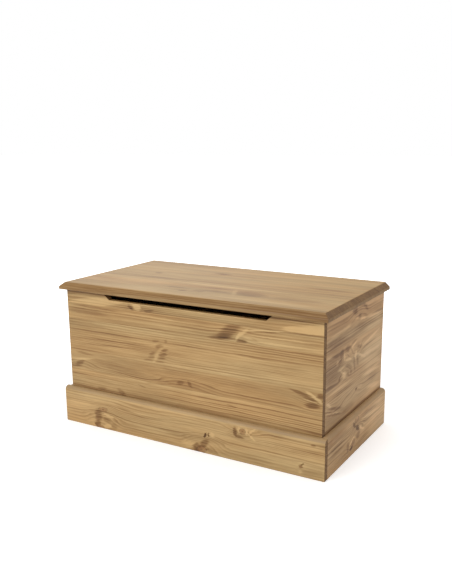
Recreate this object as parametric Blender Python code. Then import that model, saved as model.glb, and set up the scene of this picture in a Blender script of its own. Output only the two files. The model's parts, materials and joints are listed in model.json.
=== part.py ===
"""A storage trunk in waxed knotty pine, modelled as the separate pieces it is made of.

Lengths are in metres, angles in degrees, +Z is up. X runs along the front from left to right, and Y from the
front to the back. The origin is on the floor, under the middle of the box that the whole trunk fills.
"""

import math

import bmesh
import bpy
from mathutils import Matrix, Vector

# Fits and tolerances
SEAT_GAP = 0.0003
CUT_OVERRUN = 0.002
WELD_DISTANCE = 0.00001
ARRIS = 0.0008

# Carcass
BODY_WIDTH = 0.800
BODY_DEPTH = 0.421
BODY_HEIGHT = 0.398
BOARD_THICKNESS = 0.015
PANEL_LIFT = 0.002

# Finger slot in the top edge of the front panel, with slanted ends
SLOT_WIDTH = 0.490
SLOT_DEPTH = 0.018
SLOT_END_RUN = 0.0215
SLOT_CORNER_RADIUS = 0.004

# Base panel on its battens
BASE_TOP = 0.045
BASE_THICKNESS = 0.009
BASE_CLEARANCE = 0.0005
BASE_BATTEN_WIDTH = 0.018
BASE_BATTEN_HEIGHT = 0.020

# Plinth
PLINTH_HEIGHT = 0.107
PLINTH_THICKNESS = 0.015
PLINTH_ROUND_RADIUS = 0.011

# Lid and its moulded edge
LID_THICKNESS = 0.021
LID_FRONT_OVERHANG = 0.0155
LID_SIDE_OVERHANG = 0.0157
LID_MOULD_WIDTH = 0.0139
LID_EDGE_LAND = 0.0086
LID_TOP_ROUND_RADIUS = 0.006
LID_SHOULDER_RADIUS = 0.005
LID_LOWER_RADIUS = 0.0018

# Battens under the lid
LID_BATTEN_THICKNESS = 0.015
LID_BATTEN_WIDTH = 0.045
LID_BATTEN_FRONT_SPACE = 0.030
LID_BATTEN_BACK_SPACE = 0.020
LID_BATTEN_BEVEL = 0.006
BATTEN_SCREW_LENGTH = 0.030
BATTEN_SCREW_INSET = 0.045
BATTEN_SCREW_RADIUS = 0.002
BATTEN_SCREW_HEAD_RADIUS = 0.004

# Butt hinges
LID_OPEN_ANGLE = 95.0
HINGE_LENGTH = 0.060
HINGE_INSET = 0.150
HINGE_REACH = 0.0165
HINGE_LEAF_THICKNESS = 0.0016
HINGE_PIN_RADIUS = 0.0015
HINGE_KNUCKLE_WALL = 0.0014
HINGE_KNUCKLES = 5
HINGE_CORNER_RADIUS = 0.0015
HINGE_SCREW_LENGTH = 0.012
HINGE_SCREW_RADIUS = 0.0014
HINGE_SCREW_HEAD_RADIUS = 0.0026
HINGE_SCREW_END_SPACE = 0.009

# Slotted lid stays
STAY_RADIUS = 0.120
STAY_REST_ANGLE = 30.0
STAY_ARM_WIDTH = 0.014
STAY_ARM_THICKNESS = 0.002
STAY_ARM_STANDOFF = 0.003
STAY_BATTEN_STANDOFF = 0.0015
STAY_SHOULDER_RADIUS = 0.003
STAY_COLLAR_RADIUS = 0.0048
STAY_SHANK_RADIUS = 0.002
STAY_SHANK_LENGTH = 0.011
STAY_PIN_HEAD_RADIUS = 0.006
STAY_PIVOT_HEAD_RADIUS = 0.005
STAY_HEAD_THICKNESS = 0.0014
STAY_END_PLAY = 0.0004

# Knock-down corner fittings
CAM_RADIUS = 0.0075
CAM_DEPTH = 0.0115
CAM_SETBACK = 0.024
CAM_SPACE_ABOVE_BASE = 0.075
CAM_SPACE_BELOW_RIM = 0.088
CAM_BOLT_THREAD_LENGTH = 0.010
CAM_BOLT_THREAD_RADIUS = 0.0025
CAM_BOLT_SHANK_RADIUS = 0.003
CAM_BOLT_NECK_RADIUS = 0.002
CAM_BOLT_HEAD_LENGTH = 0.0025
CAM_BOLT_NECK_LENGTH = 0.004

# How finely curves are drawn
ROUND_SIDES = 16
SCREW_SIDES = 12
ARC_STEPS = 4
SMOOTH_ANGLE = 35.0

# Places that follow from the sizes
KNUCKLE_RADIUS = HINGE_PIN_RADIUS + SEAT_GAP + HINGE_KNUCKLE_WALL
FRONT_REACH = max(LID_FRONT_OVERHANG, PLINTH_THICKNESS)
BACK_REACH = SEAT_GAP + 2 * KNUCKLE_RADIUS
FRONT_Y = FRONT_REACH - (FRONT_REACH + BODY_DEPTH + BACK_REACH) / 2
BACK_Y = FRONT_Y + BODY_DEPTH
HALF_WIDTH = BODY_WIDTH / 2
INNER_HALF_WIDTH = HALF_WIDTH - BOARD_THICKNESS
INNER_FRONT_Y = FRONT_Y + BOARD_THICKNESS
INNER_BACK_Y = BACK_Y - BOARD_THICKNESS
LID_UNDERSIDE = BODY_HEIGHT + SEAT_GAP
AXIS = Vector((0, BACK_Y + SEAT_GAP + KNUCKLE_RADIUS, (BODY_HEIGHT + LID_UNDERSIDE) / 2))
SIDES = (("left", -1), ("right", 1))


def remove_all_objects():
    for thing in list(bpy.data.objects):
        bpy.data.objects.remove(thing, do_unlink=True)


def new_material(name, colour, roughness, metallic=0.0):
    """A plain finish with the piece's colour, roughness and metallic value."""
    material = bpy.data.materials.new(name)
    material.use_nodes = True
    shader = material.node_tree.nodes["Principled BSDF"]
    shader.inputs["Base Color"].default_value = (*colour, 1)
    shader.inputs["Roughness"].default_value = roughness
    shader.inputs["Metallic"].default_value = metallic
    return material


def make_materials():
    return {
        "pine": new_material("waxed_pine", (0.47, 0.31, 0.15), 0.45),
        "lid_pine": new_material("lid_pine", (0.50, 0.36, 0.21), 0.42),
        "batten": new_material("batten_pine", (0.55, 0.39, 0.22), 0.6),
        "base": new_material("base_board", (0.58, 0.43, 0.26), 0.65),
        "brass": new_material("plated_brass", (0.72, 0.52, 0.24), 0.3, 1.0),
        "zinc": new_material("bright_zinc", (0.66, 0.67, 0.68), 0.32, 1.0),
    }


# Shapes


def fillet(before, corner, after, radius, steps):
    """The points of an arc that rounds one corner of an outline, no larger than its two edges allow."""
    corner = Vector(corner)
    to_before = Vector(before) - corner
    to_after = Vector(after) - corner
    half_angle = to_before.angle(to_after) / 2
    tangent = min(radius / math.tan(half_angle), to_before.length / 2, to_after.length / 2)
    radius = tangent * math.tan(half_angle)
    inward = (to_before.normalized() + to_after.normalized()).normalized()
    centre = corner + inward * radius / math.sin(half_angle)
    start = corner + to_before.normalized() * tangent - centre
    end = corner + to_after.normalized() * tangent - centre
    turn = start.angle_signed(end)
    points = []
    for step in range(steps + 1):
        angle = -turn * step / steps
        points.append(
            centre
            + Vector(
                (
                    start.x * math.cos(angle) - start.y * math.sin(angle),
                    start.x * math.sin(angle) + start.y * math.cos(angle),
                )
            )
        )
    return points


def without_repeats(points):
    """The points of an outline with each one that lies on the point before it left out."""
    kept = []
    for point in points:
        if not kept or (point - kept[-1]).length > WELD_DISTANCE:
            kept.append(point)
    if (kept[0] - kept[-1]).length <= WELD_DISTANCE:
        kept.pop()
    return kept


def rounded_outline(corners, steps=ARC_STEPS, closed=True):
    """An outline through corners given as (u, v, radius). A radius of zero leaves a corner sharp."""
    points = []
    last = len(corners) - 1
    for index, (u, v, radius) in enumerate(corners):
        is_end = not closed and index in (0, last)
        if radius == 0 or is_end:
            points.append(Vector((u, v)))
            continue
        before = corners[index - 1][:2]
        after = corners[(index + 1) % len(corners)][:2]
        points.extend(fillet(before, (u, v), after, radius, steps))
    return without_repeats(points)


def finished_mesh(shape, name, smooth=False):
    """Turns a bmesh into a mesh whose faces point out."""
    bmesh.ops.recalc_face_normals(shape, faces=shape.faces)
    mesh = bpy.data.meshes.new(name)
    shape.to_mesh(mesh)
    shape.free()
    if smooth:
        mesh.shade_smooth()
        mesh.set_sharp_from_angle(angle=math.radians(SMOOTH_ANGLE))
    return mesh


def block_mesh(name, size, arris=ARRIS):
    """A sawn block centred on its origin, with its edges eased by the arris."""
    shape = bmesh.new()
    bmesh.ops.create_cube(shape, size=1.0)
    bmesh.ops.scale(shape, vec=size, verts=shape.verts)
    if arris > 0:
        bmesh.ops.bevel(shape, geom=shape.edges[:], offset=arris, segments=1, profile=0.5, affect="EDGES")
    return finished_mesh(shape, name)


def extruded_mesh(name, outline, length, axes="XYZ", arris=0.0):
    """A prism centred on its origin. The outline lies in the first two axes, and it runs along the third."""
    shape = bmesh.new()
    u_axis, v_axis, w_axis = ("XYZ".index(letter) for letter in axes)
    ends = []
    for w in (-length / 2, length / 2):
        ring = []
        for u, v in outline:
            corner = Vector()
            corner[u_axis], corner[v_axis], corner[w_axis] = u, v, w
            ring.append(shape.verts.new(corner))
        ends.append(ring)
    near, far = ends
    shape.faces.new(near)
    shape.faces.new(far)
    for index in range(len(near)):
        after = (index + 1) % len(near)
        shape.faces.new((near[index], near[after], far[after], far[index]))
    bmesh.ops.recalc_face_normals(shape, faces=shape.faces)
    if arris > 0:
        rims = [edge for edge in shape.edges if edge.verts[0].co[w_axis] == edge.verts[1].co[w_axis]]
        bmesh.ops.bevel(shape, geom=rims, offset=arris, segments=1, profile=0.5, affect="EDGES")
    return finished_mesh(shape, name)


def turned_mesh(name, profile, sides=ROUND_SIDES):
    """A solid of revolution about Z. Its profile of (radius, height) points starts and ends on the axis."""
    shape = bmesh.new()
    points = [shape.verts.new((radius, 0, height)) for radius, height in profile]
    edges = [shape.edges.new(pair) for pair in zip(points, points[1:])]
    bmesh.ops.spin(
        shape,
        geom=points + edges,
        cent=(0, 0, 0),
        axis=(0, 0, 1),
        angle=math.tau,
        steps=sides,
        use_merge=True,
    )
    bmesh.ops.remove_doubles(shape, verts=shape.verts, dist=WELD_DISTANCE)
    return finished_mesh(shape, name, smooth=True)


def rod_mesh(name, radius, low, high, sides=ROUND_SIDES):
    """A plain cylinder about Z between two heights."""
    shape = bmesh.new()
    bmesh.ops.create_cone(
        shape, cap_ends=True, segments=sides, radius1=radius, radius2=radius, depth=high - low
    )
    bmesh.ops.translate(shape, vec=(0, 0, (low + high) / 2), verts=shape.verts)
    return finished_mesh(shape, name, smooth=True)


def stadium_outline(radius, low, high, steps=2 * ARC_STEPS):
    """A strip along V with round ends, whose end arcs are centred at the two heights."""
    corners = [
        (radius, low - radius, radius),
        (radius, high + radius, radius),
        (-radius, high + radius, radius),
        (-radius, low - radius, radius),
    ]
    return rounded_outline(corners, steps)


# Placing and cutting


def direction_turn(direction):
    """The turn that takes +Z to a direction."""
    return Vector((0, 0, 1)).rotation_difference(Vector(direction)).to_euler()


def place(name, mesh, at, material=None, direction=None, parent=None):
    """Adds an object at a place in the trunk's own frame, and under a parent if it moves."""
    thing = bpy.data.objects.new(name, mesh)
    bpy.context.scene.collection.objects.link(thing)
    thing.parent = parent
    thing.location = Vector(at) - (parent.location if parent else Vector())
    if direction:
        thing.rotation_euler = direction_turn(direction)
    if material and not mesh.materials:
        mesh.materials.append(material)
    return thing


def place_between(name, low, high, material, parent=None, arris=ARRIS):
    """A block that fills the space between two corners."""
    low, high = Vector(low), Vector(high)
    return place(name, block_mesh(name, high - low, arris), (low + high) / 2, material, parent=parent)


def as_cutter(thing):
    thing.hide_render = True
    thing.display_type = "WIRE"
    return thing


def combine(piece, other, operation):
    """Joins another shape to a piece, or cuts it away, with a live Boolean."""
    modifier = piece.modifiers.new(other.name, "BOOLEAN")
    modifier.operation = operation
    modifier.solver = "EXACT"
    modifier.object = other


def cut(piece, cutter):
    combine(piece, as_cutter(cutter), "DIFFERENCE")


def join(piece, other):
    combine(piece, as_cutter(other), "UNION")


def bore(pieces, name, mouth, direction, radius, depth, parent=None, sides=ROUND_SIDES):
    """A round hole from its mouth along a direction, through every piece listed."""
    mesh = rod_mesh(name, radius, -CUT_OVERRUN, depth, sides)
    cutter = place(name, mesh, mouth, direction=direction, parent=parent)
    for piece in pieces:
        cut(piece, cutter)


def pocket(piece, name, low, high, parent=None):
    """A square-cornered recess between two corners."""
    cut(piece, place_between(name, low, high, None, parent, arris=0))


# Carcass


def make_front_panel(finish):
    """The front panel overlays the side panels and carries the finger slot in its top edge."""
    slot_floor = BODY_HEIGHT - SLOT_DEPTH
    half_slot = SLOT_WIDTH / 2
    half_mouth = half_slot + SLOT_END_RUN
    middle = (PANEL_LIFT + BODY_HEIGHT) / 2
    corners = [
        (-HALF_WIDTH, PANEL_LIFT, 0),
        (HALF_WIDTH, PANEL_LIFT, 0),
        (HALF_WIDTH, BODY_HEIGHT, 0),
        (half_mouth, BODY_HEIGHT, 0),
        (half_slot, slot_floor, SLOT_CORNER_RADIUS),
        (-half_slot, slot_floor, SLOT_CORNER_RADIUS),
        (-half_mouth, BODY_HEIGHT, 0),
        (-HALF_WIDTH, BODY_HEIGHT, 0),
    ]
    outline = [(u, v - middle) for u, v in rounded_outline(corners)]
    mesh = extruded_mesh("front_panel", outline, BOARD_THICKNESS, "XZY", ARRIS)
    return place("front_panel", mesh, (0, FRONT_Y + BOARD_THICKNESS / 2, middle), finish["pine"])


def make_side_panel(finish, side_name, side):
    name = side_name + "_side_panel"
    outer, inner = side * HALF_WIDTH, side * INNER_HALF_WIDTH
    low = (min(outer, inner), INNER_FRONT_Y + SEAT_GAP, PANEL_LIFT)
    high = (max(outer, inner), BACK_Y, BODY_HEIGHT)
    return place_between(name, low, high, finish["pine"])


def make_back_panel(finish):
    half = INNER_HALF_WIDTH - SEAT_GAP
    return place_between(
        "back_panel", (-half, INNER_BACK_Y, PANEL_LIFT), (half, BACK_Y, BODY_HEIGHT), finish["pine"]
    )


def make_base(finish):
    """The base panel lies on four battens glued round the inside of the carcass."""
    underside = BASE_TOP - BASE_THICKNESS
    half = INNER_HALF_WIDTH - BASE_CLEARANCE
    front, back = INNER_FRONT_Y + BASE_CLEARANCE, INNER_BACK_Y - BASE_CLEARANCE
    place_between("base_panel", (-half, front, underside), (half, back, BASE_TOP), finish["base"])

    batten_top = underside - SEAT_GAP
    batten_low = batten_top - BASE_BATTEN_HEIGHT
    half = INNER_HALF_WIDTH - SEAT_GAP
    front, back = INNER_FRONT_Y + SEAT_GAP, INNER_BACK_Y - SEAT_GAP
    inner_front, inner_back = front + BASE_BATTEN_WIDTH, back - BASE_BATTEN_WIDTH
    for name, low_y, high_y in (("front", front, inner_front), ("back", inner_back, back)):
        place_between(
            "base_batten_" + name, (-half, low_y, batten_low), (half, high_y, batten_top), finish["batten"]
        )
    for name, side in SIDES:
        ends = sorted((side * half, side * (half - BASE_BATTEN_WIDTH)))
        low = (ends[0], inner_front + SEAT_GAP, batten_low)
        high = (ends[1], inner_back - SEAT_GAP, batten_top)
        place_between("base_batten_" + name, low, high, finish["batten"])


def plinth_outline():
    """The plinth's cross-section, with V as height and U growing outwards, rounded at its outer top edge."""
    half = PLINTH_THICKNESS / 2
    corners = [
        (-half, 0, 0),
        (half, 0, 0),
        (half, PLINTH_HEIGHT, PLINTH_ROUND_RADIUS),
        (-half, PLINTH_HEIGHT, 0),
    ]
    return rounded_outline(corners, 2 * ARC_STEPS)


def make_plinth(finish):
    """Plinth boards planted on the front and on both sides. The front one covers the ends of the others."""
    outline = plinth_outline()
    stand = PLINTH_THICKNESS / 2 + SEAT_GAP
    front_length = BODY_WIDTH + 2 * (SEAT_GAP + PLINTH_THICKNESS)
    front_outline = [(-u, v) for u, v in outline]
    mesh = extruded_mesh("plinth_front", front_outline, front_length, "YZX", ARRIS)
    place("plinth_front", mesh, (0, FRONT_Y - stand, 0), finish["pine"])
    for name, side in SIDES:
        side_outline = [(side * u, v) for u, v in outline]
        mesh = extruded_mesh("plinth_" + name, side_outline, BODY_DEPTH, "XZY", ARRIS)
        at = (side * (HALF_WIDTH + stand), (FRONT_Y + BACK_Y) / 2, 0)
        place("plinth_" + name, mesh, at, finish["pine"])


# Lid


def lid_edge_profile():
    """The moulded edge as (inset, height) from the underside to the top: a land, then a rounded bevel."""
    corners = [
        (2 * LID_LOWER_RADIUS, 0, 0),
        (0, 0, LID_LOWER_RADIUS),
        (0, LID_EDGE_LAND, LID_SHOULDER_RADIUS),
        (LID_MOULD_WIDTH, LID_THICKNESS, LID_TOP_ROUND_RADIUS),
        (LID_MOULD_WIDTH + 2 * LID_TOP_ROUND_RADIUS, LID_THICKNESS, 0),
    ]
    return rounded_outline(corners, closed=False)[1:-1]


def lid_mesh():
    """The lid as a stack of rings, one for each height of the edge profile. Its back edge stays square."""
    left = -(HALF_WIDTH + LID_SIDE_OVERHANG)
    front = FRONT_Y - LID_FRONT_OVERHANG
    shape = bmesh.new()
    rings = []
    for inset, height in lid_edge_profile():
        x, y = left + inset, front + inset
        corners = ((x, y), (-x, y), (-x, BACK_Y), (x, BACK_Y))
        rings.append([shape.verts.new((u, v - AXIS.y, LID_UNDERSIDE + height - AXIS.z)) for u, v in corners])
    shape.faces.new(rings[0])
    shape.faces.new(rings[-1])
    for lower, upper in zip(rings, rings[1:]):
        for index in range(len(lower)):
            after = (index + 1) % len(lower)
            shape.faces.new((lower[index], lower[after], upper[after], upper[index]))
    return finished_mesh(shape, "lid_panel")


def screw_mesh(name, radius, head_radius, length):
    """A countersunk screw about Z, with its head's flat top at the origin and its point below."""
    cone = head_radius - radius
    point = 2 * radius
    profile = [(0, 0), (head_radius, 0), (radius, -cone), (radius, point - length), (0, -length)]
    return turned_mesh(name, profile, SCREW_SIDES)


def screw_seat(pieces, name, mouth, direction, radius, head_radius, depth, parent=None):
    """The countersunk hole of such a screw, wider by the seat gap all round, through every piece listed."""
    wide, narrow = head_radius + SEAT_GAP, radius + SEAT_GAP
    rim = wide + CUT_OVERRUN
    profile = [(0, -CUT_OVERRUN), (rim, -CUT_OVERRUN), (narrow, wide - narrow), (narrow, depth), (0, depth)]
    mesh = turned_mesh(name, profile, SCREW_SIDES)
    cutter = place(name, mesh, mouth, direction=direction, parent=parent)
    for piece in pieces:
        cut(piece, cutter)


def batten_ends():
    """Where the lid battens start at the front and end at the back."""
    return INNER_FRONT_Y + LID_BATTEN_FRONT_SPACE, INNER_BACK_Y - LID_BATTEN_BACK_SPACE


def batten_outline():
    """A lid batten's side view along Y and up Z, with both lower corners bevelled."""
    front, back = batten_ends()
    half_length, half_height = (back - front) / 2, LID_BATTEN_THICKNESS / 2
    return [
        (-half_length + LID_BATTEN_BEVEL, -half_height),
        (half_length - LID_BATTEN_BEVEL, -half_height),
        (half_length, LID_BATTEN_BEVEL - half_height),
        (half_length, half_height),
        (-half_length, half_height),
        (-half_length, LID_BATTEN_BEVEL - half_height),
    ]


def batten_outer_face():
    """How far from the middle the outer face of each lid batten stands."""
    return INNER_HALF_WIDTH - STAY_ARM_STANDOFF - STAY_ARM_THICKNESS - STAY_BATTEN_STANDOFF


def make_lid(finish, axis):
    """The lid panel with two screwed battens, all carried by the hinge axis."""
    panel = place("lid_panel", lid_mesh(), AXIS, finish["lid_pine"], parent=axis)
    front, back = batten_ends()
    top = LID_UNDERSIDE - SEAT_GAP
    underside = top - LID_BATTEN_THICKNESS
    battens = {}
    for name, side in SIDES:
        x = side * (batten_outer_face() - LID_BATTEN_WIDTH / 2)
        batten_name = "lid_batten_" + name
        mesh = extruded_mesh(batten_name, batten_outline(), LID_BATTEN_WIDTH, "YZX", ARRIS)
        at = (x, (front + back) / 2, (top + underside) / 2)
        batten = place(batten_name, mesh, at, finish["batten"], parent=axis)
        battens[name] = batten
        for end, y in (("front", front + BATTEN_SCREW_INSET), ("back", back - BATTEN_SCREW_INSET)):
            screw_name = f"{batten_name}_screw_{end}"
            mesh = screw_mesh(screw_name, BATTEN_SCREW_RADIUS, BATTEN_SCREW_HEAD_RADIUS, BATTEN_SCREW_LENGTH)
            mouth = (x, y, underside)
            place(screw_name, mesh, mouth, finish["zinc"], (0, 0, -1), axis)
            screw_seat(
                [batten, panel],
                screw_name + "_hole",
                mouth,
                (0, 0, 1),
                BATTEN_SCREW_RADIUS,
                BATTEN_SCREW_HEAD_RADIUS,
                BATTEN_SCREW_LENGTH + SEAT_GAP,
                axis,
            )
    return panel, battens


# Hinges


def knuckle_span(knuckle):
    """Where one knuckle starts and ends along the axis, with half the seat gap left at each end."""
    pitch = HINGE_LENGTH / HINGE_KNUCKLES
    low = knuckle * pitch - HINGE_LENGTH / 2
    return low + SEAT_GAP / 2, low + pitch - SEAT_GAP / 2


def leaf_outline(own_knuckles):
    """A leaf seen from above: X along the axis, Y away from it, with tabs that reach into its own knuckles.

    The tabs and the plate stop a little inside the knuckles' ends.
    """
    inset = SEAT_GAP
    half = HINGE_LENGTH / 2 - inset
    clear = -(KNUCKLE_RADIUS + SEAT_GAP)
    outline = rounded_outline(
        [
            (half, clear, 0),
            (half, -HINGE_REACH, HINGE_CORNER_RADIUS),
            (-half, -HINGE_REACH, HINGE_CORNER_RADIUS),
            (-half, clear, 0),
        ]
    )
    for knuckle in own_knuckles:
        low, high = knuckle_span(knuckle)
        low, high = max(low + inset, -half), min(high - inset, half)
        outline.extend(Vector(point) for point in ((low, clear), (low, 0), (high, 0), (high, clear)))
    return without_repeats(outline)


def make_leaf(name, own_knuckles, lift, centre, material, parent):
    """One hinge leaf: a flat plate below or above the axis, with its own knuckles bored for the pin."""
    plate = extruded_mesh(name, leaf_outline(own_knuckles), HINGE_LEAF_THICKNESS)
    plate.transform(Matrix.Translation((0, 0, lift * (SEAT_GAP + HINGE_LEAF_THICKNESS) / 2)))
    leaf = place(name, plate, centre, material, parent=parent)
    for knuckle in own_knuckles:
        low, high = knuckle_span(knuckle)
        knuckle_name = f"{name}_knuckle_{knuckle + 1}"
        mesh = rod_mesh(knuckle_name, KNUCKLE_RADIUS, low, high)
        join(leaf, place(knuckle_name, mesh, centre, direction=(1, 0, 0), parent=parent))
    bore_radius = HINGE_PIN_RADIUS + SEAT_GAP
    start = centre - Vector((HINGE_LENGTH / 2, 0, 0))
    bore([leaf], name + "_bore", start, (1, 0, 0), bore_radius, HINGE_LENGTH + CUT_OVERRUN, parent)
    return leaf


def make_hinge(finish, side_name, side, back_panel, lid_panel, axis):
    """A butt hinge: one leaf let into the back panel's top edge, the other into the lid's underside."""
    centre = Vector((side * (HALF_WIDTH - HINGE_INSET), AXIS.y, AXIS.z))
    name = f"hinge_{side_name}_"
    odd = [knuckle for knuckle in range(HINGE_KNUCKLES) if knuckle % 2]
    even = [knuckle for knuckle in range(HINGE_KNUCKLES) if not knuckle % 2]
    fixed = make_leaf(name + "fixed_leaf", even, -1, centre, finish["brass"], None)
    moving = make_leaf(name + "moving_leaf", odd, 1, centre, finish["brass"], axis)

    half = HINGE_LENGTH / 2
    pin = rod_mesh(name + "pin", HINGE_PIN_RADIUS, -half, half)
    place(name + "pin", pin, centre, finish["brass"], (1, 0, 0))

    low_x, high_x = centre.x - half - SEAT_GAP, centre.x + half + SEAT_GAP
    inner_y = AXIS.y - HINGE_REACH - SEAT_GAP
    depth = HINGE_LEAF_THICKNESS + SEAT_GAP
    open_y = BACK_Y + CUT_OVERRUN
    pocket(
        back_panel,
        name + "back_recess",
        (low_x, inner_y, BODY_HEIGHT - depth),
        (high_x, open_y, BODY_HEIGHT + CUT_OVERRUN),
    )
    pocket(
        lid_panel,
        name + "lid_recess",
        (low_x, inner_y, LID_UNDERSIDE - CUT_OVERRUN),
        (high_x, open_y, LID_UNDERSIDE + depth),
        axis,
    )

    screw_y = AXIS.y - (HINGE_REACH + KNUCKLE_RADIUS + SEAT_GAP) / 2
    pitch = half - HINGE_SCREW_END_SPACE
    for kind, leaf, wood, lift, parent in (
        ("fixed", fixed, back_panel, -1, None),
        ("moving", moving, lid_panel, 1, axis),
    ):
        for number, shift in enumerate((-pitch, 0, pitch), 1):
            mouth = Vector((centre.x + shift, screw_y, AXIS.z + lift * SEAT_GAP / 2))
            screw_name = f"{name}{kind}_screw_{number}"
            mesh = screw_mesh(screw_name, HINGE_SCREW_RADIUS, HINGE_SCREW_HEAD_RADIUS, HINGE_SCREW_LENGTH)
            place(screw_name, mesh, mouth, finish["brass"], (0, 0, -lift), parent)
            screw_seat(
                [leaf, wood],
                screw_name + "_hole",
                mouth,
                (0, 0, lift),
                HINGE_SCREW_RADIUS,
                HINGE_SCREW_HEAD_RADIUS,
                HINGE_SCREW_LENGTH + SEAT_GAP,
                parent,
            )


# Lid stays


def stay_drop_angle():
    """How far below the hinge axis's level the arm's pivot lies, seen from the axis, in radians."""
    pivot_height = LID_UNDERSIDE - SEAT_GAP - LID_BATTEN_THICKNESS / 2
    return math.asin((AXIS.z - pivot_height) / STAY_RADIUS)


def stay_point(angle):
    """A point at the stay's radius from the hinge axis, that many radians below level, as (y, z)."""
    return AXIS.y - STAY_RADIUS * math.cos(angle), AXIS.z - STAY_RADIUS * math.sin(angle)


def stay_reach(lid_angle):
    """The distance from the arm's pivot to the guide pin when the lid is open by an angle in degrees."""
    return 2 * STAY_RADIUS * math.sin(math.radians(STAY_REST_ANGLE + lid_angle) / 2)


def shoulder_pin_mesh(name, head_radius, standoff):
    """A shouldered screw about Z, with its shank below the origin, then its collar, shoulder and head."""
    collar_top = standoff - SEAT_GAP
    shoulder_top = standoff + STAY_ARM_THICKNESS + SEAT_GAP
    head_top = shoulder_top + STAY_HEAD_THICKNESS
    profile = [
        (0, -STAY_SHANK_LENGTH),
        (STAY_SHANK_RADIUS, STAY_SHANK_RADIUS - STAY_SHANK_LENGTH),
        (STAY_SHANK_RADIUS, SEAT_GAP),
        (STAY_COLLAR_RADIUS, SEAT_GAP),
        (STAY_COLLAR_RADIUS, collar_top),
        (STAY_SHOULDER_RADIUS, collar_top),
        (STAY_SHOULDER_RADIUS, shoulder_top),
        (head_radius, shoulder_top),
        (head_radius, (shoulder_top + head_top) / 2),
        (head_radius - STAY_HEAD_THICKNESS / 2, head_top),
        (0, head_top),
    ]
    return turned_mesh(name, profile)


def make_stay(finish, side_name, side, side_panel, batten, axis):
    """A slotted arm that turns on the lid's batten and slides on a guide pin in the side panel.

    Pivot and pin are equally far from the hinge axis, so the arm always turns by half of the lid's angle.
    """
    name = f"stay_{side_name}_"
    drop = stay_drop_angle()
    rest = math.radians(STAY_REST_ANGLE)
    inner_x = side * INNER_HALF_WIDTH
    arm_x = side * (INNER_HALF_WIDTH - STAY_ARM_STANDOFF - STAY_ARM_THICKNESS / 2)
    batten_x = side * batten_outer_face()
    pivot = Vector((batten_x, *stay_point(drop)))
    pin = Vector((inner_x, *stay_point(drop + rest)))
    closed_reach, open_reach = stay_reach(0), stay_reach(LID_OPEN_ANGLE)

    outline = stadium_outline(STAY_ARM_WIDTH / 2, -open_reach, 0)
    mesh = extruded_mesh(name + "arm", outline, STAY_ARM_THICKNESS, "YZX")
    arm = place(name + "arm", mesh, (arm_x, pivot.y, pivot.z), finish["zinc"], parent=axis)
    arm.rotation_euler.x = drop + rest / 2
    cutter_depth = STAY_ARM_THICKNESS + 2 * CUT_OVERRUN
    running_radius = STAY_SHOULDER_RADIUS + SEAT_GAP
    slot = stadium_outline(running_radius, -open_reach - STAY_END_PLAY, STAY_END_PLAY - closed_reach)
    for cutter_name, cutter_outline in (
        ("slot", slot),
        ("eye", stadium_outline(running_radius, 0, 0)),
    ):
        mesh = extruded_mesh(name + cutter_name, cutter_outline, cutter_depth, "YZX")
        cutter = place(name + cutter_name, mesh, (arm_x, pivot.y, pivot.z), parent=axis)
        cutter.rotation_euler = arm.rotation_euler
        cut(arm, cutter)

    shank_hole = STAY_SHANK_RADIUS + SEAT_GAP
    hole_depth = STAY_SHANK_LENGTH + SEAT_GAP
    mesh = shoulder_pin_mesh(name + "pivot", STAY_PIVOT_HEAD_RADIUS, STAY_BATTEN_STANDOFF)
    place(name + "pivot", mesh, pivot, finish["zinc"], (side, 0, 0), axis)
    bore([batten], name + "pivot_hole", pivot, (-side, 0, 0), shank_hole, hole_depth, axis)
    mesh = shoulder_pin_mesh(name + "pin", STAY_PIN_HEAD_RADIUS, STAY_ARM_STANDOFF)
    place(name + "pin", mesh, pin, finish["zinc"], (-side, 0, 0))
    bore([side_panel], name + "pin_hole", pin, (side, 0, 0), shank_hole, hole_depth)


# Corner fittings


def cam_bolt_mesh(name):
    """A cam bolt about Z: its thread is below the joint at the origin, its head is above, inside the cam."""
    head_top = CAM_SETBACK + CAM_BOLT_HEAD_LENGTH / 2
    head_low = head_top - CAM_BOLT_HEAD_LENGTH
    neck_low = head_low - CAM_BOLT_NECK_LENGTH
    profile = [
        (0, -CAM_BOLT_THREAD_LENGTH),
        (CAM_BOLT_THREAD_RADIUS, -CAM_BOLT_THREAD_LENGTH),
        (CAM_BOLT_THREAD_RADIUS, 0),
        (CAM_BOLT_SHANK_RADIUS, SEAT_GAP),
        (CAM_BOLT_SHANK_RADIUS, neck_low),
        (CAM_BOLT_NECK_RADIUS, neck_low + CAM_BOLT_NECK_RADIUS / 2),
        (CAM_BOLT_NECK_RADIUS, head_low),
        (CAM_BOLT_SHANK_RADIUS, head_low),
        (CAM_BOLT_SHANK_RADIUS, head_top),
        (0, head_top),
    ]
    return turned_mesh(name, profile, SCREW_SIDES)


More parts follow.
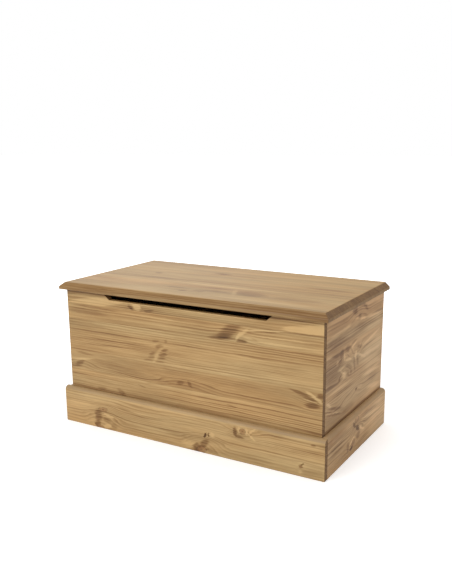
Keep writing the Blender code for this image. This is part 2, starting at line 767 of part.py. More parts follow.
def make_cam_fitting(finish, place_name, joint, along, face, cam_panel, bolt_panel):
    """A cam disc let into one panel, and the bolt that it pulls, which is screwed into the other panel.

    joint is where the bolt crosses between the panels, along points from there into the cam's panel, and
    face points out of that panel into the trunk.
    """
    along, face = Vector(along), Vector(face)
    cam_face = joint + along * CAM_SETBACK + face * BOARD_THICKNESS / 2
    name = "cam_" + place_name
    bolt_name = "cam_bolt_" + place_name
    edge = CAM_RADIUS - ARRIS
    profile = [(0, -CAM_DEPTH), (CAM_RADIUS, -CAM_DEPTH), (CAM_RADIUS, -ARRIS), (edge, 0), (0, 0)]
    cam = place(name, turned_mesh(name, profile), cam_face, finish["zinc"], face)
    bore([cam_panel], name + "_hole", cam_face, -face, CAM_RADIUS + SEAT_GAP, CAM_DEPTH + SEAT_GAP)
    place(bolt_name, cam_bolt_mesh(bolt_name), joint, finish["zinc"], along)
    channel = CAM_SETBACK + CAM_BOLT_HEAD_LENGTH / 2 + SEAT_GAP
    channel_radius = CAM_BOLT_SHANK_RADIUS + SEAT_GAP
    bore([cam_panel, cam], bolt_name + "_channel", joint, along, channel_radius, channel, sides=SCREW_SIDES)
    thread_hole = CAM_BOLT_THREAD_LENGTH + SEAT_GAP
    thread_radius = CAM_BOLT_THREAD_RADIUS + SEAT_GAP
    bore([bolt_panel], bolt_name + "_hole", joint, -along, thread_radius, thread_hole, sides=SCREW_SIDES)


def make_cam_fittings(finish, front_panel, back_panel, side_panels):
    """Two fittings in each upright joint, with their cams in the side panels and in the back panel."""
    board_middle = BOARD_THICKNESS / 2
    levels = (("lower", BASE_TOP + CAM_SPACE_ABOVE_BASE), ("upper", BODY_HEIGHT - CAM_SPACE_BELOW_RIM))
    for side_name, side in SIDES:
        side_panel = side_panels[side_name]
        for level, height in levels:
            joint = Vector((side * (HALF_WIDTH - board_middle), INNER_FRONT_Y, height))
            make_cam_fitting(
                finish, f"front_{side_name}_{level}", joint, (0, 1, 0), (-side, 0, 0), side_panel, front_panel
            )
            joint = Vector((side * INNER_HALF_WIDTH, BACK_Y - board_middle, height))
            make_cam_fitting(
                finish, f"back_{side_name}_{level}", joint, (-side, 0, 0), (0, -1, 0), back_panel, side_panel
            )


def main():
    remove_all_objects()
    finish = make_materials()
    axis = bpy.data.objects.new("lid_hinge_axis", None)
    bpy.context.scene.collection.objects.link(axis)
    axis.location = AXIS

    front_panel = make_front_panel(finish)
    back_panel = make_back_panel(finish)
    side_panels = {name: make_side_panel(finish, name, side) for name, side in SIDES}
    make_base(finish)
    make_plinth(finish)
    lid_panel, battens = make_lid(finish, axis)
    for name, side in SIDES:
        make_hinge(finish, name, side, back_panel, lid_panel, axis)
        make_stay(finish, name, side, side_panels[name], battens[name], axis)
    make_cam_fittings(finish, front_panel, back_panel, side_panels)


main()
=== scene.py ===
import json
import math
from collections import namedtuple
from functools import cache
from types import SimpleNamespace

import bmesh
import bpy
from bpy.props import FloatProperty, FloatVectorProperty, IntProperty, PointerProperty
from mathutils import Matrix, Vector


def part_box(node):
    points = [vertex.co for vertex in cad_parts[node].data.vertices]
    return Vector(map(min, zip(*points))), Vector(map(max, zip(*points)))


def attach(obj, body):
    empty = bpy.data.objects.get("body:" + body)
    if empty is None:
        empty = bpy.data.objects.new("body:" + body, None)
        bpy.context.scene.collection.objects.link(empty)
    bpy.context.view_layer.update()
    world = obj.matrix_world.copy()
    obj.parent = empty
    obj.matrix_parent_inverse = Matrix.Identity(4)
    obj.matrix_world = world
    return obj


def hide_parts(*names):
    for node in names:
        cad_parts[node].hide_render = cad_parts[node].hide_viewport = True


bl_info = {
    "name": "Waxed Pine Storage Trunk",
    "version": (1, 0, 0),
    "blender": (4, 5, 0),
    "location": "View3D > Sidebar > Trunk",
    "description": "Dresses the packed parts of a pine storage trunk and sets up a plain studio",
    "category": "Object",
}

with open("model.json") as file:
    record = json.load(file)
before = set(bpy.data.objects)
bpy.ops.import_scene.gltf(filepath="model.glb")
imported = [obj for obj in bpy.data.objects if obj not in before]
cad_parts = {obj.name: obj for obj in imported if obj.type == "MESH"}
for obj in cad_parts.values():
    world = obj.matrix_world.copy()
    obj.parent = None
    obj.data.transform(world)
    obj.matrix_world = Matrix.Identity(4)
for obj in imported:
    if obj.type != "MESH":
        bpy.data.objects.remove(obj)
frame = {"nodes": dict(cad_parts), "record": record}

NODE_BODY = {
    node: body for body, nodes in frame["record"]["behaviour"]["bodies"].items() for node in nodes
}
SIDES = (("left", -1), ("right", 1))
LEVELS = ("lower", "upper")
ENDS = ("front", "back")
# The hinge leaves, with the side of the hinge's axis that each lies on: below it or above it
LEAVES = (("fixed", -1), ("moving", 1))

MILLIMETRE = 0.001
WHITE = (1, 1, 1, 1)

# How many sides round shapes have
SMALL_ROUND = 24
PLAIN_ROUND = 32
DOMED_ROUND = 40
LARGE_ROUND = 48
# A face is a top where its normal rises at least this much
UPWARD = 0.9
# How much of a bar's half width its round ends take up, so that the bevels of two corners never meet
ROUND_END = 0.9999
# How the screws' recesses are turned, in degrees: the first one, and each one further than the last
FIRST_TWIST = 11
NEXT_TWIST = 37
# How the recesses of the stays' screws and of the cams are turned, in radians
STAY_TWIST = 0.4
CAM_TWIST = 0.3
# A screwdriver's recess: the width and the span of its bars in radii of the head, and their depth, which is
# in radii too for a countersunk head and in heights of the dome or the disc for a stay's screw or a cam
SCREW_RECESS = (0.24, 1.16, 0.38)
STAY_RECESS = (0.20, 1.00, 0.60)
CAM_RECESS = (0.20, 1.15, 0.25)
# A screw's threads and point in radii of its shank, and how much of each thread slopes inwards
THREAD_SPACING = 0.9
THREAD_ROOT = 0.72
THREAD_SLOPE = 0.55
POINT_LENGTH = 3
POINT_TIP = 0.1
# The blunt end of a stay's screw in radii of its shank, and its dome in shares of its width and height
BLUNT_TIP = 0.3
DOME = ((1, 0), (1, 0.35), (0.93, 0.62), (0.80, 0.82), (0.62, 0.94), (0.40, 1))

# How much paler or redder than the front some boards are, in their pale and in their dark wood
NO_TINTS = ((1, 1, 1), (1, 1, 1))
BARE_TINTS = ((1.12, 1.12, 1.12), (1.12, 1.12, 1.12))
# On the sides the pale wood is tinted paler and bluer as a painted sheen, and the dark wood redder
SIDE_SHEEN_TINTS = ((1.14, 1.10, 1.22), (1.00, 0.94, 0.90))

# Between which shares of facing a direction a mask goes from 0 to 1, or from 1 to 0 if the second is less
SAWN_END = (0.30, 0.60)
# Where the plinth boards' rounded edge gets its painted sheen
SHEEN_ON_ROUNDING = (0.10, 0.45)
MOULD_SLOPE = (0.30, 0.65)
BELOW_THE_TOP = (0.97, 0.80)
# A knot, from 0 at its middle to 1 at its edge: where its heart ends, how far its bark reaches in and out
# from the edge, where its core ends, how close its rings lie, and how far and how much it bends the grain
KNOT_EDGE = (0.80, 1.05)
KNOT_BARK = (0.0, 0.24)
KNOT_CORE = (0.12, 0.42)
KNOT_RINGS = 19.0
KNOT_REACH = -0.22
KNOT_PUSH = -0.85
# How much stain and end grain show on the mould's upright land, and how much more on its slope
MOULD_STAIN = (0.60, 0.40)
MOULD_END_GRAIN = (0.40, 0.45)
# Noises that feather the edges of knots and marks, by their changes per metre along and across the grain
RIPPLE = (45, 110, 110)
STREAK = (14, 380, 380)
# Noises in the polish and the tint of the metals, by their changes per metre along X, Y and Z
BRUSHED = (900, 900, 40)
EVEN = (400, 400, 400)
CLOUD = (60, 60, 60)

FLOOR_SIZE = 60.0
FLOOR_FADE = (0.45, 1.40)
LAMP_AIM = Vector((0, 0, 0.2))

# The figure of the wood, board by board, in millimetres of the trunk's frame. Joints are the glue lines
# between the staves, from the low edge up, and pitches are how far apart the rings of each stave lie.
# A knot, bend or mark is an oval: its place along the grain and across the width, half its length, half
# its width and its tilt in degrees. A bend ends with how far it lifts the rings, and a mark with how much
# darker it makes the wood, or paler below 0, and, if it isn't the usual 0.7, how soft its edge is.

# A few marks of the front and side boards are painted shadow, shade or highlight, noted where they stand
Spot = namedtuple("Spot", "along across half_length half_width tilt strength soft", defaults=(0.0, 0.7))
Figure = namedtuple(
    "Figure",
    "grain width seed joints pitches knots bends marks contrast gloss tints edge",
    defaults=((), (7.0,), (), (), (), 1.0, 0.42, NO_TINTS, "square"),
)

FRONT_FIGURE = Figure(
    "X", "Z", 3,
    joints=(163, 220, 315, 360), pitches=(5.5, 6.5, 6, 11, 8),
    bends=(
        (155, 325, 70, 30, 0, -10), (-80, 252, 50, 30, 0, -6), (-360, 185, 70, 25, 0, -12),
        (5, 180, 110, 25, 0, -10), (-140, 170, 90, 20, 0, 8), (380, 195, 60, 25, 0, 12),
        (-140, 150, 80, 14, 0, 5),
    ),
    marks=(
        # The second and third marks on the next line are painted shadow under the lid's overhang
        (-300, 369, 120, 15, 8, -0.4, 0.3), (-385, 390, 80, 8, 8, 0.4), (-240, 392, 170, 9, 0, 0.3),
        (-140, 338, 160, 20, 0, -0.26), (-160, 308, 200, 12, 0, -0.24), (-90, 250, 110, 20, 0, 0.2),
        (-130, 202, 280, 22, 0, 0.22), (390, 190, 40, 30, 0, 0.15), (-260, 146, 120, 16, 0, 0.18),
        (405, 375, 122, 12, 4, -0.5, 0.15), (410, 380, 70, 15, 8, -0.15, 0.4), (350, 379, 45, 2.2, 6, 0.2),
        # On the next line the first mark is painted shadow under the lid's overhang, and the second a
        # painted highlight along the slot's lower lip
        (310, 392, 90, 5, 2, 0.35), (0, 379.3, 245, 1.8, 0, -0.7, 0.3), (60, 372, 190, 7, 0, -0.22),
        (-150, 372, 16, 11, -20, -0.6, 0.5), (-172, 368, 12, 6, -40, 0.65), (-110, 364.5, 17, 4.2, 8, 0.6),
        (142, 343, 42, 17.5, 34, 0.62), (113, 322.5, 40, 9, 12, 0.55), (125, 317, 30, 4.5, 8, 0.4),
        (176, 319, 19, 7, 0, 0.65), (180, 341, 23, 6, 40, -0.5, 0.9), (166, 329, 17, 5, 62, -0.5, 0.9),
        (196, 330, 19, 4, -12, -0.35, 0.9), (250, 355.5, 70, 2.4, 5, -0.5, 0.5),
        (240, 350.5, 60, 2.4, 6, 0.4, 0.5), (300, 339.5, 130, 2.4, 1, -0.4), (300, 324, 130, 2.4, 1, -0.4),
        (-330, 338, 85, 11, 0, 0.32), (-30, 345, 220, 4, -2, -0.25), (-300, 352, 100, 3, -1, 0.3),
        (-78, 270, 17, 7, 16, 0.55), (-88, 284, 13, 4.5, 12, 0.3), (-55, 288, 6, 6, 0, 0.3),
        (-102, 247, 12, 5, 22, 0.5), (-106, 237, 14, 4, 10, 0.42), (-118, 227.5, 16, 3.2, 4, 0.35),
        (-61, 262, 12, 5, 15, 0.55), (-67, 248, 15, 5.5, 12, 0.6), (-72, 237, 15, 4.2, 8, 0.5),
        (-78, 226.5, 16, 3, 5, 0.4), (-83, 250, 38, 6.5, 60, -0.28, 0.9), (-230, 263, 120, 2.8, 2, 0.35),
        (-250, 247, 120, 2.8, 3, 0.3), (-120, 283, 270, 7, 1, 0.2), (260, 290, 160, 15, 2, 0.08),
        (200, 233, 260, 8, 2, -0.22), (-366, 182, 22, 8, 25, 0.5), (-345, 213, 38, 4.5, -4, 0.35),
        (-220, 186, 120, 13, -6, 0.28), (-350, 195.5, 42, 4, 9, -0.4), (-380, 172, 30, 5, 0, 0.3),
        (-13, 178, 15, 6.5, 15, 0.42), (18, 179, 12, 5.5, -50, 0.42), (340, 212.5, 36, 4.5, -9, 0.65),
        (358, 203, 26, 4.8, -12, 0.65), (374, 184, 23, 9, 5, 0.75), (396, 212, 12, 8.5, 0, 0.7),
        (380, 205, 32, 4.6, -30, -0.62, 0.6), (372, 194, 25, 2, -8, -0.5, 0.5),
        (-142, 147, 16, 2.4, -10, 0.45), (148, 142, 18, 2.4, -6, 0.4), (-285, 117, 18, 6.5, 0, 0.32),
        # The last mark on the next line is painted shade along the joint with the plinth
        (-215, 116, 20, 8, -30, 0.38), (0, 158.5, 400, 4, 0, -0.2), (0, 106, 1000, 13, 0, 0.4, 0.8),
    ),
)

SIDE_FIGURE = Figure(
    "Y", "Z", 17, contrast=0.68, tints=SIDE_SHEEN_TINTS,
    joints=(212, 304), pitches=(6, 6.8, 8),
    bends=(
        (-70, 250, 50, 40, 0, -16), (10, 265, 60, 30, 0, 24), (20, 365, 70, 25, 0, -14),
        (15, 164, 50, 20, 0, -8), (-120, 150, 70, 30, 0, 12),
    ),
    marks=(
        (140, 245, 110, 45, 4, -0.42), (140, 378, 90, 20, 0, -0.3), (-110, 292, 65, 14, 0, 0.35),
        (-100, 312, 120, 13, 0, 0.22), (-120, 362, 90, 14, 0, 0.18), (140, 198, 90, 20, 0, -0.3),
        (140, 122, 80, 12, 0, -0.2), (140, 320, 100, 30, -6, -0.22), (-130, 335, 90, 28, 0, 0.2),
        (-130, 135, 90, 30, -10, 0.22), (-8, 384, 20, 11, 0, 0.6), (0, 374, 13, 6, 0, 0.25),
        (40, 390, 30, 7, -8, 0.45), (70, 377, 24, 6, -32, 0.45), (27, 361, 15, 10, 0, 0.3),
        (27, 362, 6, 4.5, 0, 0.3), (130, 366, 80, 12, -4, 0.15), (-100, 383, 90, 8, 0, -0.3),
        (-100, 347, 90, 7, 2, -0.4), (30, 354, 50, 4.5, -10, -0.4), (120, 344, 100, 5, -5, -0.4),
        (-130, 327, 70, 11, -3, 0.3), (80, 328, 90, 8, -3, 0.25), (-150, 260, 80, 48, 0, 0.5),
        (-155, 292, 30, 5, -14, -0.25), (-120, 272, 10, 9, 30, -0.4), (-92, 288, 15, 14, 30, 0.48),
        (-100, 270, 14, 6, 0, 0.25), (-52, 292, 20, 12, 0, 0.42), (-50, 286, 9, 5, 0, 0.3),
        (-74, 276, 5, 13, 12, -0.35), (-45, 262, 32, 4.5, -8, -0.45), (-95, 250, 26, 4.5, 0, -0.45),
        (-88, 240, 22, 4, -30, -0.35), (-75, 229, 17, 12, -10, -0.35), (-42, 242, 28, 7, -22, 0.45),
        (-28, 224, 11, 8, -30, 0.35), (-3, 238, 8, 23, 14, 0.42), (21, 240, 7.5, 16, 24, 0.42),
        (5, 260, 9, 14, 0, -0.45), (-10, 300, 30, 4, 12, 0.4), (-10, 292, 25, 3.5, 14, -0.4),
        (28, 279, 27, 6, -14, 0.4), (45, 250, 40, 4, -20, -0.42), (120, 282, 90, 4.5, 8, -0.38),
        (110, 269, 80, 4, 4, 0.25), (120, 243, 90, 4, -2, -0.38), (110, 233, 90, 5, -2, 0.22),
        (16, 164, 9, 4.2, 0, 0.95), (-130, 157, 60, 5.5, -16, 0.45), (-130, 141, 60, 4.5, -14, 0.4),
        (-140, 148, 60, 3, -14, -0.4), (-80, 188, 90, 5, 0, 0.35), (-100, 202, 100, 5, 0, -0.35),
        (110, 196, 90, 5, -2, 0.3), (130, 182, 90, 6, -4, -0.3), (-170, 178, 20, 5, -30, -0.35),
        # The last mark on the next line is painted shade along the joint with the plinth
        (140, 165, 40, 14, 0, 0.22), (-40, 128, 50, 12, 0, 0.35), (0, 106, 800, 10.5, 0, 0.5, 0.8),
        (150, 135, 60, 8, -8, -0.3),
    ),
)

LEFT_SIDE_FIGURE = Figure(
    "Y", "Z", 29, contrast=0.68, tints=SIDE_SHEEN_TINTS,
    joints=(190, 262, 345),
    knots=((60, 300, 17, 12, 10), (-120, 228, 13, 10, -15), (140, 160, 10, 8, 0)),
    bends=((-20, 150, 90, 30, 0, -15), (100, 370, 80, 20, 0, 10)),
    marks=(
        (60, 300, 45, 15, 8, 0.3), (-120, 228, 35, 12, -8, 0.35), (-60, 370, 90, 9, 2, -0.3),
        (90, 215, 80, 6, -3, -0.25),
    ),
)

BACK_FIGURE = Figure(
    "X", "Z", 41,
    joints=(85, 175, 262, 340),
    knots=(
        (-220, 220, 18, 12, 8), (130, 300, 14, 10, -6), (310, 130, 16, 12, 0), (-50, 50, 12, 9, 0),
        (-330, 370, 9, 7, 0),
    ),
    bends=((0, 140, 150, 30, 0, -18), (200, 220, 120, 30, 0, 14)),
    marks=(
        (-220, 220, 50, 14, 4, 0.3), (130, 300, 45, 12, -4, 0.3), (310, 130, 50, 14, 0, 0.35),
        (50, 205, 200, 8, 1, -0.25), (-150, 365, 180, 8, 0, -0.3),
    ),
)

PLINTH_FRONT_FIGURE = Figure(
    "X", "Z", 53, contrast=1.1, edge="rounded",
    knots=(
        (186.5, 85, 9, 7.2, 10), (-274, 58, 17, 6.5, 5), (61, 8.5, 15, 8.5, 8), (-286, 3, 12, 6, 0),
        (352, 27, 5, 4, 30),
    ),
    bends=(
        (-275, 35, 70, 40, 0, -16), (70, 30, 70, 35, 0, -20), (190, 85, 65, 30, 0, 14),
        (-120, 70, 120, 30, 0, 9),
    ),
    marks=(
        (0, 55, 1000, 150, 0, -0.07, 0.2), (-285, 92, 90, 15, 0, -0.24), (355, 92, 70, 19, 0, -0.3),
        (-120, 34, 100, 13, 0, -0.22), (390, 14, 45, 20, 0, 0.25), (-70, 6, 60, 11, 0, 0.2),
        (173, 73, 35, 13, 0, 0.18), (-292, 38, 15, 22, 0, 0.75), (-296, 13, 14, 11, 30, 0.8),
        (-262, 28, 18, 8, -20, 0.45), (-254, 43, 20, 4.5, -12, -0.5, 0.4),
        (-258, 11, 16, 6, 10, -0.55, 0.4), (-236, 14, 14, 14, 0, 0.35), (47, 12, 13, 14, 0, 0.8),
        (70, 27, 22, 10.5, 42, 0.8), (86, 12, 12, 8, 0, 0.35), (74.5, 52, 4.5, 8, -15, 1.6, 0.3),
        (83.5, 55, 2.8, 6.5, 10, 1.2, 0.3), (79, 53, 2.2, 7.5, -10, -0.8, 0.3), (96, 57, 8, 8, 0, -0.45),
        (165, 80, 6.5, 15, 14, 0.85), (178, 69, 15, 4.2, -8, 0.75), (176, 86.5, 5, 10, 10, -0.45),
        (198, 86, 5.5, 11, 0, -0.6), (182, 100, 16, 4, 0, -0.5), (212, 75, 16, 3, -35, -0.6, 0.4),
        (214, 90, 14, 3.5, 40, -0.55, 0.4), (207, 82, 8, 6, 0, 0.35), (384, 89, 8, 4, 0, 0.5),
        (350, 13, 6, 6, 0, -0.25), (352, 27.5, 6.5, 5.5, 30, 0.75), (357, 34, 4.5, 2.2, 40, 1.2, 0.4),
        (20, 18, 26, 10, 0, -0.3), (70, 100, 180, 5, 0, -0.25), (-180, 70, 50, 6, -10, 0.25),
        (-100, 65, 60, 5, 4, 0.25), (-360, 65, 70, 5, 0, -0.25), (270, 60, 100, 6, 0, 0.22),
        (250, 40, 120, 6, 2, -0.22),
    ),
)

PLINTH_SIDE_FIGURE = Figure(
    "Y", "Z", 61, contrast=1.1, tints=SIDE_SHEEN_TINTS, edge="rounded",
    knots=((-12, 90, 13, 8.5, 0), (-36, 33, 14, 8.5, 20)),
    bends=((-5, 70, 50, 25, 0, -14), (-45, 25, 50, 20, 0, 10)),
    marks=(
        (-3, 64, 17, 7.5, -28, 1.25), (-165, 86, 95, 26, 0, 0.42), (165, 40, 105, 56, 0, -0.32),
        (-12, 55, 35, 11, 0, 0.2), (-28, 79, 16, 6.5, -40, 0.8), (-10, 93, 11, 6, 0, -0.7),
        (20, 56, 30, 3.5, -25, -0.6), (-46, 22, 13, 5.5, 20, 1.25), (-45, 40, 26, 4.5, 20, -0.6),
        (0, 42, 16, 10, 10, 0.6), (-72, 34, 10, 16, 0, 0.45), (-150, 64, 80, 4.5, 0, 0.45),
        (-150, 49, 70, 4, 0, 0.35), (90, 72, 90, 6, -5, -0.4), (90, 85, 90, 5, -5, 0.35),
        (-160, 73, 60, 3, 0, -0.45), (120, 40, 80, 6, 0, 0.25),
    ),
)

PLINTH_LEFT_FIGURE = Figure(
    "Y", "Z", 73, contrast=1.1, tints=SIDE_SHEEN_TINTS, edge="rounded",
    knots=((80, 50, 14, 10, 5),),
    bends=((-60, 40, 80, 30, 0, -14),),
    marks=((80, 50, 40, 14, 5, 0.35), (-90, 75, 80, 6, 0, -0.25)),
)

LID_FIGURE = Figure(
    "X", "Y", 83, contrast=0.7, gloss=0.38, edge="moulded",
    joints=(-145, -50, 45, 130),
    knots=((-60, 102, 9, 7, 0),),
    bends=((150, -110, 120, 40, 0, -20), (-250, 30, 70, 30, 0, 12)),
    marks=(
        (-245, 30, 16, 12, -20, 0.4), (-40, -10, 110, 24, 0, 0.18), (330, 85, 110, 24, 0, -0.14),
        (80, 145, 320, 16, 0, -0.14), (-190, -32, 115, 12, 0, 0.35), (-60, 102, 35, 11, 0, 0.45),
        (150, -112, 55, 30, -10, 0.36, 0.7), (103, -112, 8, 38, 25, -0.25, 0.8), (40, -88, 55, 7, 4, 0.4),
        (40, -125, 60, 9, 4, 0.3), (290, -118, 80, 20, 0, 0.3), (320, 30, 90, 12, 0, 0.45),
        (-70, -125, 50, 6, 0, 0.35), (60, -58, 250, 8, 0, -0.35), (-200, -90, 150, 25, 0, -0.2),
        (10, -142, 20, 5, 0, 0.5), (-35, -155, 16, 5, 0, 0.5), (-280, 90, 200, 50, 0, -0.25),
        (200, -175, 180, 8, 0, -0.25),
    ),
)

BASE_FIGURE = Figure(
    "X", "Y", 97, contrast=0.8, gloss=0.55, tints=BARE_TINTS,
    joints=(-110, -20, 70, 140),
    knots=((-180, 20, 12, 9, 0), (220, -70, 10, 8, 0)),
    bends=((50, 100, 140, 30, 0, -16),),
    marks=((-180, 20, 35, 12, 0, 0.3),),
)

BATTEN_ALONG_X = Figure("X", "Y", 107, contrast=0.7, gloss=0.60, tints=BARE_TINTS, pitches=(4.5,))
BATTEN_ALONG_Y = Figure("Y", "X", 113, contrast=0.7, gloss=0.60, tints=BARE_TINTS, pitches=(4.5,))


# Sizes and colours that a user would change


def number(name, default, description, **kind):
    return FloatProperty(name=name, default=default, description=description, **kind)


def length(name, default, description):
    return number(name, default, description, min=0.0, unit="LENGTH", precision=5)


def position(name, default, description):
    return FloatVectorProperty(name=name, default=default, description=description, subtype="TRANSLATION")


def colour(name, default, description):
    return FloatVectorProperty(
        name=name, default=default, description=description, min=0.0, max=1.0, subtype="COLOR"
    )


class TrunkBoardSizes(bpy.types.PropertyGroup):
    """How the boards' edges are worked."""

    arris: length("Softened edge", 0.0009, "Width of the eased edges of every board")
    slot_width: length("Slot width", 0.490, "Width of the finger slot's floor")
    slot_depth: length("Slot depth", 0.018, "Depth of the finger slot below the front board's top edge")
    slot_run: length("Slot end run", 0.0215, "How far each end of the slot slants outwards")
    slot_corner: length("Slot corner", 0.0015, "Width of the rounding at the slot's lower corners")
    plinth_round: length("Plinth rounding", 0.0110, "Radius of the plinth's rounded top edge")
    edge_land: length("Lid edge land", 0.0086, "Height of the flat band below the lid's moulding")
    mould_width: length("Lid mould width", 0.0139, "How far the lid's bevel runs in from its edge")
    lid_top_round: length("Lid top rounding", 0.0024, "Width of the rounding between the bevel and the top")
    lid_shoulder_round: length("Lid shoulder rounding", 0.0024, "Width of the rounding below the bevel")
    lid_lower_round: length("Lid lower rounding", 0.0018, "Radius of the lid's lower edge")
    lid_arris: length("Lid corner", 0.0004, "Width of the lid's eased back edge")
    batten_bevel: length("Batten bevel", 0.0060, "Bevel at both ends of each lid batten")
    clearance: length("Clearance", 0.0003, "Gap round the fittings that are let into the wood")


class TrunkMetalSizes(bpy.types.PropertyGroup):
    """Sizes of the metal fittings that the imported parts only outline."""

    knuckles: IntProperty(name="Knuckles", description="Knuckles of each hinge", default=5, min=3, max=9)
    hinge_length: length("Hinge length", 0.060, "Length of each hinge along its pin")
    leaf_thickness: length("Leaf thickness", 0.0016, "Thickness of the hinge leaves")
    leaf_corner: length("Leaf corner", 0.0015, "Radius of the leaves' corners")
    hinge_pin: length("Hinge pin radius", 0.0015, "Radius of the hinge pins")
    hinge_screw_head: length("Hinge screw head", 0.0026, "Head radius of the hinge screws")
    hinge_screw_shank: length("Hinge screw shank", 0.0014, "Shank radius of the hinge screws")
    batten_screw_head: length("Batten screw head", 0.0040, "Head radius of the batten screws")
    batten_screw_shank: length("Batten screw shank", 0.0020, "Shank radius of the batten screws")
    stay_eye: length("Stay slot radius", 0.0033, "Half the width of the stays' slots")
    stay_shoulder: length("Stay shoulder radius", 0.0030, "Radius of the shoulders that run in the stays")
    stay_collar: length("Stay collar radius", 0.0048, "Radius of the collars under the stays")
    stay_shank: length("Stay shank radius", 0.0020, "Radius of the stay screws' shanks")
    stay_shank_length: length("Stay shank length", 0.0110, "How deep the stay screws sit in the wood")
    stay_play: length("Stay play", 0.0004, "Free play at both ends of the stays' slots")
    cam_rim: length("Cam rim", 0.0006, "Height and width of the rim round each cam's face")
    metal_edge: length("Metal edge", 0.0002, "Width of the eased edges of the metal pieces")


class TrunkColours(bpy.types.PropertyGroup):
    """Colours of the finishes."""

    pale: colour("Pale pine", (0.570, 0.375, 0.168), "Palest early wood")
    middle: colour("Honey pine", (0.378, 0.232, 0.094), "Body colour of the waxed boards")
    dark: colour("Dark pine", (0.222, 0.114, 0.040), "Late wood and the wood round knots")
    deep: colour("Deep brown", (0.085, 0.036, 0.010), "Bark rings and cracks in the knots")
    knot: colour("Knot", (0.330, 0.150, 0.055), "Heart of the knots")
    stain: colour("Edge stain", (0.170, 0.075, 0.012), "Wax and stain that gather in the lid's moulding")
    # Painted sheen: the greyer colour given to the plinth's rounded edge where light glances off it
    painted_sheen: colour("Rubbed edge", (0.340, 0.226, 0.116), "Dull wax on the plinth's rounded edge")
    end_grain: colour("End grain", (0.108, 0.052, 0.024), "Sawn ends, which take up more wax")
    brass: colour("Brass", (0.80, 0.58, 0.27), "Plated brass of the hinges")
    zinc: colour("Zinc", (0.70, 0.71, 0.72), "Zinc plating of screws, cams and stays")
    floor: colour("Floor", (0.90, 0.90, 0.90), "Studio floor")


class TrunkStudio(bpy.types.PropertyGroup):
    """Camera and lamps."""

    lens: number("Lens", 44.72, "Focal length", min=1.0, unit="CAMERA")
    sensor: number("Sensor", 36.0, "Sensor's long side", min=1.0, unit="CAMERA")
    shift_x: number("Shift X", -0.0110, "Sideways shift of the picture")
    shift_y: number("Shift Y", 0.0343, "Upward shift of the picture")
    camera_place: position("Camera", (1.0454, -1.7246, 0.8122), "Place of the camera")
    yaw: number("Yaw", 0.5322, "Turn to the left", subtype="ANGLE")
    pitch: number("Pitch", 0.2342, "Tilt down", subtype="ANGLE")
    roll: number("Roll", 0.0083, "Lean to the right", subtype="ANGLE")
    key_power: number("Key", 46.0, "Power of the key lamp", min=0.0, unit="POWER")
    key_size: length("Key size", 2.2, "Width of the key lamp")
    key_place: position("Key place", (-0.8, -2.6, 2.3), "Place of the key lamp")
    top_power: number("Top", 26.0, "Power of the top lamp", min=0.0, unit="POWER")
    top_size: length("Top size", 2.6, "Width of the lamp overhead")
    top_place: position("Top place", (0.5, 0.4, 2.8), "Place of the lamp overhead")
    sheen_power: number("Sheen", 13.0, "Power of the far lamp", min=0.0, unit="POWER")
    sheen_size: length("Sheen size", 3.2, "Width of the lamp whose light glances off the lid")
    sheen_place: position("Sheen place", (-2.6, 2.2, 1.5), "Place of the far lamp")
    ambient: number("Ambient", 0.66, "Strength of the white surround", min=0.0)
    reflected: number("Reflected", 0.52, "Strength of the surround in reflections", min=0.0)
    floor_glow: number("Floor glow", 0.30, "Extra white that the camera sees", min=0.0)


def board_sizes():
    return bpy.context.scene.trunk_boards


def metal_sizes():
    return bpy.context.scene.trunk_metal


# Selecting and shaping


def clear_selection():
    """Leaves object mode with nothing selected, because operators act on all that is selected."""
    if bpy.context.mode != "OBJECT":
        bpy.ops.object.mode_set(mode="OBJECT")
    bpy.ops.object.select_all(action="DESELECT")


def pick(piece):
    clear_selection()
    piece.select_set(True)
    bpy.context.view_layer.objects.active = piece


def name_new(name):
    """Names what an operator has just added."""
    piece = bpy.context.view_layer.objects.active
    piece.name = name
    piece.data.name = name
    return piece


def settle(piece):
    """Moves a piece's place, turn and scale into its mesh."""
    pick(piece)
    bpy.ops.object.transform_apply(location=True, rotation=True, scale=True)
    return piece


def move(piece, matrix):
    """Moves a piece that is at the origin, with its mesh."""
    piece.matrix_world = matrix
    return settle(piece)


def block(name, low, high):
    low, high = Vector(low), Vector(high)
    clear_selection()
    bpy.ops.mesh.primitive_cube_add(size=1, location=(low + high) / 2)
    piece = name_new(name)
    piece.scale = high - low
    return settle(piece)


def rod(name, start, end, radius, end_radius=None, sides=PLAIN_ROUND):
    """A round bar or a cone between two points."""
    start, end = Vector(start), Vector(end)
    clear_selection()
    bpy.ops.mesh.primitive_cone_add(
        vertices=sides,
        radius1=radius,
        radius2=radius if end_radius is None else end_radius,
        depth=(end - start).length,
        location=(start + end) / 2,
        rotation=(end - start).to_track_quat("Z", "Y").to_euler(),
    )
    return settle(name_new(name))


def edit(piece, kind):
    """Enters edit mode with nothing selected, and gives the piece's shape."""
    pick(piece)
    bpy.ops.object.mode_set(mode="EDIT")
    bpy.ops.mesh.select_mode(type=kind)
    bpy.ops.mesh.select_all(action="DESELECT")
    return bmesh.from_edit_mesh(piece.data)


def bevel_edges(piece, wanted, width, segments):
    """Bevels the edges whose two ends pass a test."""
    shape = edit(piece, "EDGE")
    for edge in shape.edges:
        if wanted(edge.verts[0].co, edge.verts[1].co):
            edge.select_set(True)
    bmesh.update_edit_mesh(piece.data)
    bpy.ops.mesh.bevel(offset=width, segments=segments, profile=0.5, affect="EDGES")
    bpy.ops.object.mode_set(mode="OBJECT")


